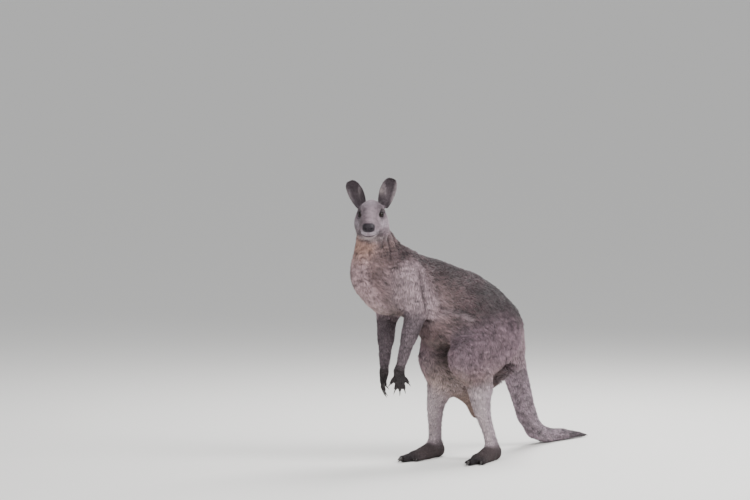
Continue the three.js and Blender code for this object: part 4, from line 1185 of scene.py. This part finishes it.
scatter = add_node(
    grower, "GeometryNodeDistributePointsOnFaces",
    {"Mesh": given["Skin"], "Density": read("density"), "Seed": given["Seed"]},
)
place = add_node(grower, "GeometryNodeInputPosition").outputs[0]
row_place = calc("MULTIPLY", place, (1 / ROW_WIDE, 1 / ROW_WIDE, 1 / ROW), kind="ShaderNodeVectorMath")
rows = add_node(grower, "ShaderNodeTexNoise", {"Vector": row_place}, Scale=1.0, Detail=1.0, Distortion=0.6)
patches = add_node(grower, "ShaderNodeTexNoise", {"Vector": place}, Scale=1 / PATCH, Detail=1.0)
row = calc("MULTIPLY", calc("SUBTRACT", rows.outputs[0], 0.5), given["Ruffle"])
cloud = calc("SUBTRACT", patches.outputs[0], 0.5)
# Each tuft's shade mixes its own random tone and the tone of its patch with painted light along the rows of
# clumps: tufts lifted on a ridge are painted lighter, and those in a trough darker.
shade = calc("MULTIPLY_ADD", row, 2.8, calc("MULTIPLY_ADD", cloud, 0.8, 1.0))
shade = calc("MULTIPLY_ADD", chance(1), 0.5, shade)
coat_points = keep(scatter.outputs["Points"], "root", "FLOAT_VECTOR", place)
coat_points = keep(coat_points, "shade", "FLOAT", shade)
coat_points = keep(coat_points, "grizzle", "FLOAT", calc("ADD", chance(2), 0.5))
sunk = calc("SCALE", read("out", "FLOAT_VECTOR"), kind="ShaderNodeVectorMath")
sunk.node.inputs["Scale"].default_value = -ROOT_DEPTH
rooted = add_node(grower, "GeometryNodeSetPosition", {"Geometry": coat_points, "Offset": sunk})
stand = add_node(
    grower, "FunctionNodeAxesToRotation",
    {0: read("out", "FLOAT_VECTOR"), 1: read("lie", "FLOAT_VECTOR")}, primary_axis="Z", secondary_axis="X",
)
lift = calc("MULTIPLY_ADD", chance(3), 0.16, read("lean"))
lift = calc("MULTIPLY_ADD", row, 0.5, lift)
sway = calc("MULTIPLY_ADD", cloud, 1.1, calc("MULTIPLY", chance(4), 0.5))
turn = add_node(grower, "ShaderNodeCombineXYZ", {"Y": calc("MULTIPLY", lift, -1.0), "Z": sway})
turned = add_node(
    grower, "FunctionNodeRotateRotation", {0: stand.outputs[0], 1: turn.outputs[0]}, rotation_space="LOCAL"
)
stretch = calc("MULTIPLY_ADD", chance(5), 0.5, calc("MULTIPLY_ADD", row, 0.7, 1.0))
long = calc("MULTIPLY", read("length"), stretch)
broad = calc("MULTIPLY", read("width"), calc("MULTIPLY_ADD", chance(6), 0.5, 1.0))
size = add_node(
    grower, "ShaderNodeCombineXYZ", {"X": long, "Y": broad, "Z": calc("MULTIPLY", broad, given["Thickness"])}
)
lock = add_node(grower, "GeometryNodeObjectInfo", {"Object": given["Tuft"]})
locks = add_node(
    grower, "GeometryNodeInstanceOnPoints",
    {
        "Points": rooted.outputs[0], "Instance": lock.outputs["Geometry"], "Rotation": turned.outputs[0],
        "Scale": size.outputs[0],
    },
)
plain = add_node(grower, "GeometryNodeRealizeInstances", {"Geometry": locks.outputs[0]})
haired = add_node(
    grower, "GeometryNodeSetMaterial", {"Geometry": plain.outputs[0], "Material": given["Hair"]}
)
grown_out = add_node(grower, "NodeGroupOutput")
grower.links.new(haired.outputs[0], grown_out.inputs[0])
print("a tree of", len(grower.nodes), "nodes")

# %% [markdown]
# ## Guard hairs
# A guard hair of a grey kangaroo is dark at the root and pale near the tip, and no two are quite alike. So
# the material takes the painted markings, darkens the roots, lightens the tips, most of all on a few tufts,
# and follows the shade of each clump. Hair is matt from afar, with a faint sheen where light grazes it.

# %% Hair
hair, hair_tree, hair_shader = new_material("guard_hairs")


def hair_value(name):
    return add_node(hair_tree, "ShaderNodeAttribute", attribute_name=name).outputs["Fac"]


def hair_math(operation, *values):
    return add_node(hair_tree, "ShaderNodeMath", dict(enumerate(values)), operation=operation).outputs[0]


reach = hair_value("along")
tip = hair_math("MULTIPLY", hair_math("POWER", hair_value("grizzle"), 4.0), hair_math("POWER", reach, 2.0))
glow = hair_math("MULTIPLY_ADD", tip, 0.75, hair_math("MULTIPLY_ADD", reach, 0.42, 0.72))
hair_tree.links.new(marked(hair_tree, hair_math("MULTIPLY", glow, hair_value("shade"))),
                    hair_shader.inputs["Base Color"])
hair_shader.inputs["Roughness"].default_value = 0.75
hair_shader.inputs["Specular IOR Level"].default_value = 0.25
hair_shader.inputs["Sheen Weight"].default_value = 0.12
hair_shader.inputs["Sheen Roughness"].default_value = 0.5
print("guard hairs, dark at the root")

# %% [markdown]
# ## Growing the coat, piece by piece
# The coat is grown in pieces, so that none gets too heavy. Each piece has its share of the tufts, and the
# pieces overlap where their regions fade into one another. Each tuft also gets a small patch on a flat map
# of the skin: every solid is unwrapped like a globe onto its own tile, the two faces of an ear on two tiles.
# The patches of close neighbours overlap, so a baked colour is shared by the hair round it.

# %% A flat map of the skin
TILES = 8
TILE_MARGIN = 0.03
PATCH_SIZE = 0.003
tile_names = [n for n in names if not n.startswith("eye_")] + ["inner_ear_left", "inner_ear_right"]


def own_axes(name):
    """A solid's middle and its own three directions, the longest last, each divided by its half size."""
    corners = np.array([v.co for v in nodes[name].data.vertices])
    middle = (corners.min(axis=0) + corners.max(axis=0)) / 2
    axes = np.linalg.svd(corners - corners.mean(axis=0), full_matrices=False)[2][::-1]
    return middle, axes / np.abs((corners - middle) @ axes.T).max(axis=0)[:, None]


def flat_map(roots):
    """Where each root lies on the map: its solid's tile, and its longitude and latitude on that tile."""
    nearest, names = nearest_names(roots)
    flat = np.zeros((len(roots), 2))
    for i, name in enumerate(names):
        chosen = nearest == i
        if not chosen.any():
            continue
        name = name.replace("eye_left", "head").replace("eye_right", "head")
        middle, axes = own_axes(name)
        ball = (roots[chosen] - middle) @ axes.T
        ball /= np.linalg.norm(ball, axis=1, keepdims=True)
        globe = np.c_[np.arctan2(ball[:, 1], ball[:, 0]) / (2 * math.pi) + 0.5, ball[:, 2] / 2 + 0.5]
        tile = np.full(len(ball), tile_names.index(name))
        if name.startswith("ear_"):
            inner = (skin_out(roots[chosen]) @ head_y) > 0
            tile[inner] = tile_names.index("inner_" + name)
        corner = np.c_[tile % TILES, tile // TILES]
        flat[chosen] = (corner + TILE_MARGIN + (1 - 2 * TILE_MARGIN) * globe) / TILES
    return flat


skin_tree = kdtree.KDTree(len(points))
for i, p in enumerate(points):
    skin_tree.insert(p, i)
skin_tree.balance()


def skin_out(places):
    return out[[skin_tree.find(p)[1] for p in places]]


print(len(tile_names), "tiles of", round(1 / TILES, 3))


# %% Grow
face_mesh = skin.data
areas = np.empty(len(face_mesh.polygons), np.float32)
face_mesh.polygons.foreach_get("area", areas)
point_area = np.zeros(len(points))
for corners, area in zip(face_corners, areas):
    point_area[corners] += area / len(corners)


def grow(name, amount, tufts, seed, material, ruffle=1.0, thickness=0.4, longer=1.0, wider=1.0):
    """Grows about that many tufts where the amount says, and returns them as one plain mesh."""
    mesh = skin.data.copy()
    mesh.materials.clear()
    density = amount * tufts / max(float((amount * point_area).sum()), 1e-9)
    store(mesh, "density", "FLOAT", density)
    mesh.attributes["length"].data.foreach_set("value", (length * MM * longer).astype(np.float32))
    mesh.attributes["width"].data.foreach_set("value", (width * MM * wider).astype(np.float32))
    obj = bpy.data.objects.new(name, mesh)
    bpy.context.scene.collection.objects.link(obj)
    modifier = obj.modifiers.new("coat", "NODES")
    modifier.node_group = grower
    values = dict(Tuft=tuft, Seed=seed, Thickness=thickness, Ruffle=ruffle, Hair=material)
    for key, value in values.items():
        modifier[inputs[key][0]] = value
    obj = evaluated(obj, name)
    mesh = obj.data
    roots = np.empty(len(mesh.vertices) * 3, np.float32)
    mesh.attributes["root"].data.foreach_get("vector", roots)
    flat = flat_map(roots.reshape(-1, 3)[::CORNERS].astype(np.float64))
    shape = (np.array([v[:2] for v in TUFT]) - (0.5, 0)) * PATCH_SIZE
    at_points = (flat[:, None, :] + shape[None]).reshape(-1, 2)
    corner_points = np.empty(len(mesh.loops), np.int32)
    mesh.loops.foreach_get("vertex_index", corner_points)
    for layer in list(mesh.uv_layers):
        mesh.uv_layers.remove(layer)
    layer = mesh.uv_layers.new(name="OFBake")
    layer.data.foreach_set("uv", at_points[corner_points].astype(np.float32).ravel())
    for helper in HELPERS + ["density", "root"]:
        if helper in mesh.attributes:
            mesh.attributes.remove(mesh.attributes[helper])
    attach(obj, "root")
    print(name, len(mesh.vertices) // CORNERS, "tufts,", len(mesh.polygons), "triangles")
    return obj


# %% Coat
on_left = smoothstep(-0.01, 0.01, points[:, 0] - middle_x)
arms = share["upper_arm"] + share["forearm"] + share["hand"]
legs = share["shank"] + share["foot"] + share["scrotum"]
COAT = [
    ("coat_head", share["head"], 19300), ("coat_ears", share["ear"], 10000),
    ("coat_neck", share["neck"], 15000), ("coat_chest", share["chest"], 19000),
    ("coat_abdomen", share["abdomen"], 19300), ("coat_thigh_left", share["thigh"] * on_left, 14000),
    ("coat_thigh_right", share["thigh"] * (1 - on_left), 11000),
    ("coat_tail", share["tail"] + share["tail_root"], 17000), ("coat_arms", arms, 14000),
    ("coat_legs", legs, 11000),
]
for number, (name, region, tufts) in enumerate(COAT):
    ruffle = 0.45 if name in ("coat_head", "coat_ears") else 1.0
    grow(name, region * crowd, tufts, 10 * number + 1, hair, ruffle=ruffle)

# %% [markdown]
# ## Whiskers
# A kangaroo's whiskers are few, long and dark, on the upper lip. They are tufts too, drawn out to fifteen
# times the length of the tufts round them and about half as wide.

# %% Whiskers
WHISKERS = 44
WHISKER_SEED = 301
bristle, _, bristle_shader = new_material("whisker_bristle")
bristle_shader.inputs["Base Color"].default_value = (*linear("#2c2427"), 1)
bristle_shader.inputs["Roughness"].default_value = 0.4
whisker_spots = head * bump(np.linalg.norm((mirrored - (24, 86, -62)) * (1, 1, 1.3), axis=1), 9)
thin = dict(ruffle=0.2, thickness=0.9, longer=15, wider=0.55)
grow("whiskers", whisker_spots, WHISKERS, WHISKER_SEED, bristle, **thin)

# %% [markdown]
# ## Eyes
# The eyeball is a smooth ball that bulges a little at the front, where the cornea is. A kangaroo's iris
# is so dark a brown that its wide pupil hardly shows. The wet film on it gives one sharp highlight.

# %% Eyes
eyeball, eye_tree, eye_shader = new_material("wet_eyeball")
eye_place = add_node(eye_tree, "ShaderNodeAttribute", attribute_name="from_pupil").outputs["Fac"]
iris = add_node(eye_tree, "ShaderNodeValToRGB", {"Fac": eye_place})
IRIS = [
    (0.0, "#050404"), (0.30, "#070505"), (0.36, "#20130d"), (0.62, "#180e09"), (0.72, "#090606"),
    (1.0, "#3a2f2f"),
]
iris.color_ramp.elements[0].color = (*linear(IRIS[0][1]), 1)
iris.color_ramp.elements[1].color = (*linear(IRIS[-1][1]), 1)
for position, code in IRIS[1:-1]:
    iris.color_ramp.elements.new(position).color = (*linear(code), 1)
eye_tree.links.new(iris.outputs["Color"], eye_shader.inputs["Base Color"])
eye_shader.inputs["Roughness"].default_value = 0.05
eye_shader.inputs["Specular IOR Level"].default_value = 0.22
for side in ("left", "right"):
    mesh = bpy.data.meshes.new("eyeball_" + side)
    bm = bmesh.new()
    bmesh.ops.create_uvsphere(bm, u_segments=64, v_segments=40, radius=1)
    bm.to_mesh(mesh)
    bm.free()
    axis, inner, upward = lid_frame(side)
    ball = points_of(mesh)
    cornea = 1 + 0.05 * smoothstep(0.72, 0.95, ball[:, 2])
    frame_of_eye = np.array([inner, upward, axis])
    if np.linalg.det(frame_of_eye) < 0:
        frame_of_eye[0] *= -1
    local = ball * cornea[:, None] * R
    set_points(mesh, from_head(eye_places[side] + local @ frame_of_eye))
    across_pupil = np.hypot(ball[:, 0] / 1.35, ball[:, 1])
    far_round = np.where(ball[:, 2] > 0, across_pupil, 1.0)
    store(mesh, "from_pupil", "FLOAT", np.minimum(far_round, 1))
    mesh.polygons.foreach_set("use_smooth", [True] * len(mesh.polygons))
    mesh.materials.append(eyeball)
    obj = bpy.data.objects.new("eyeball_" + side, mesh)
    bpy.context.scene.collection.objects.link(obj)
    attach(obj, "root")
    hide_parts("eye_" + side)
print("2 eyes of radius", round(R, 1), "mm")

# %% [markdown]
# ## Claws
# The claws are dark horn, smooth and a little worn. Their solids have the right shape already, so they are
# only subdivided. Horn is polished by the ground, and takes a soft highlight along its ridge.

# %% Claws
horn, horn_tree, horn_shader = new_material("worn_claw_horn")
horn_shader.inputs["Base Color"].default_value = (*linear("#2b2624"), 1)
horn_shader.inputs["Roughness"].default_value = 0.38
horn_grain = grain(horn_tree, 1.2, 0.25, 0.2 * MM)
horn_tree.links.new(horn_grain.outputs["Normal"], horn_shader.inputs["Normal"])
bm = bmesh.new()
for name in claw_names:
    claw = smooth_copy(name, 2)
    bm.from_mesh(claw.data)
    bpy.data.objects.remove(claw)
claw_mesh = bpy.data.meshes.new("claws")
bm.to_mesh(claw_mesh)
bm.free()
claw_mesh.polygons.foreach_set("use_smooth", [True] * len(claw_mesh.polygons))
claw_mesh.materials.append(horn)
claws = bpy.data.objects.new("claws", claw_mesh)
bpy.context.scene.collection.objects.link(claws)
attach(claws, "root")
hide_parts(*claw_names)
print(len(claw_names), "claws")

# %% [markdown]
# ## A lighter skin
# The coat has grown, so the skin under it can have fewer triangles than the coat's roots needed. The face,
# the ears, the hands and the feet, where the coat hides least, still keep the most.

# %% Lighter skin
SKIN_TRIANGLES = 185000
for helper in HELPERS:
    skin.data.attributes.remove(skin.data.attributes[helper])
# The larger this is at a point, the shorter the edges that are kept there.
fineness = 0.1 + 0.3 * head + 0.4 * muzzle + 0.3 * share["ear"] + 0.2 * share["hand"] + 0.1 * share["foot"]
skin = thinned(skin, np.clip(fineness, 0, 0.8), SKIN_TRIANGLES)
print("skin of", triangles(skin.data), "triangles, open edges and litres:", close_slits(skin))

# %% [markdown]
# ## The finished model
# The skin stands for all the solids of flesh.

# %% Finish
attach(skin, "root")
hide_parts(*flesh)
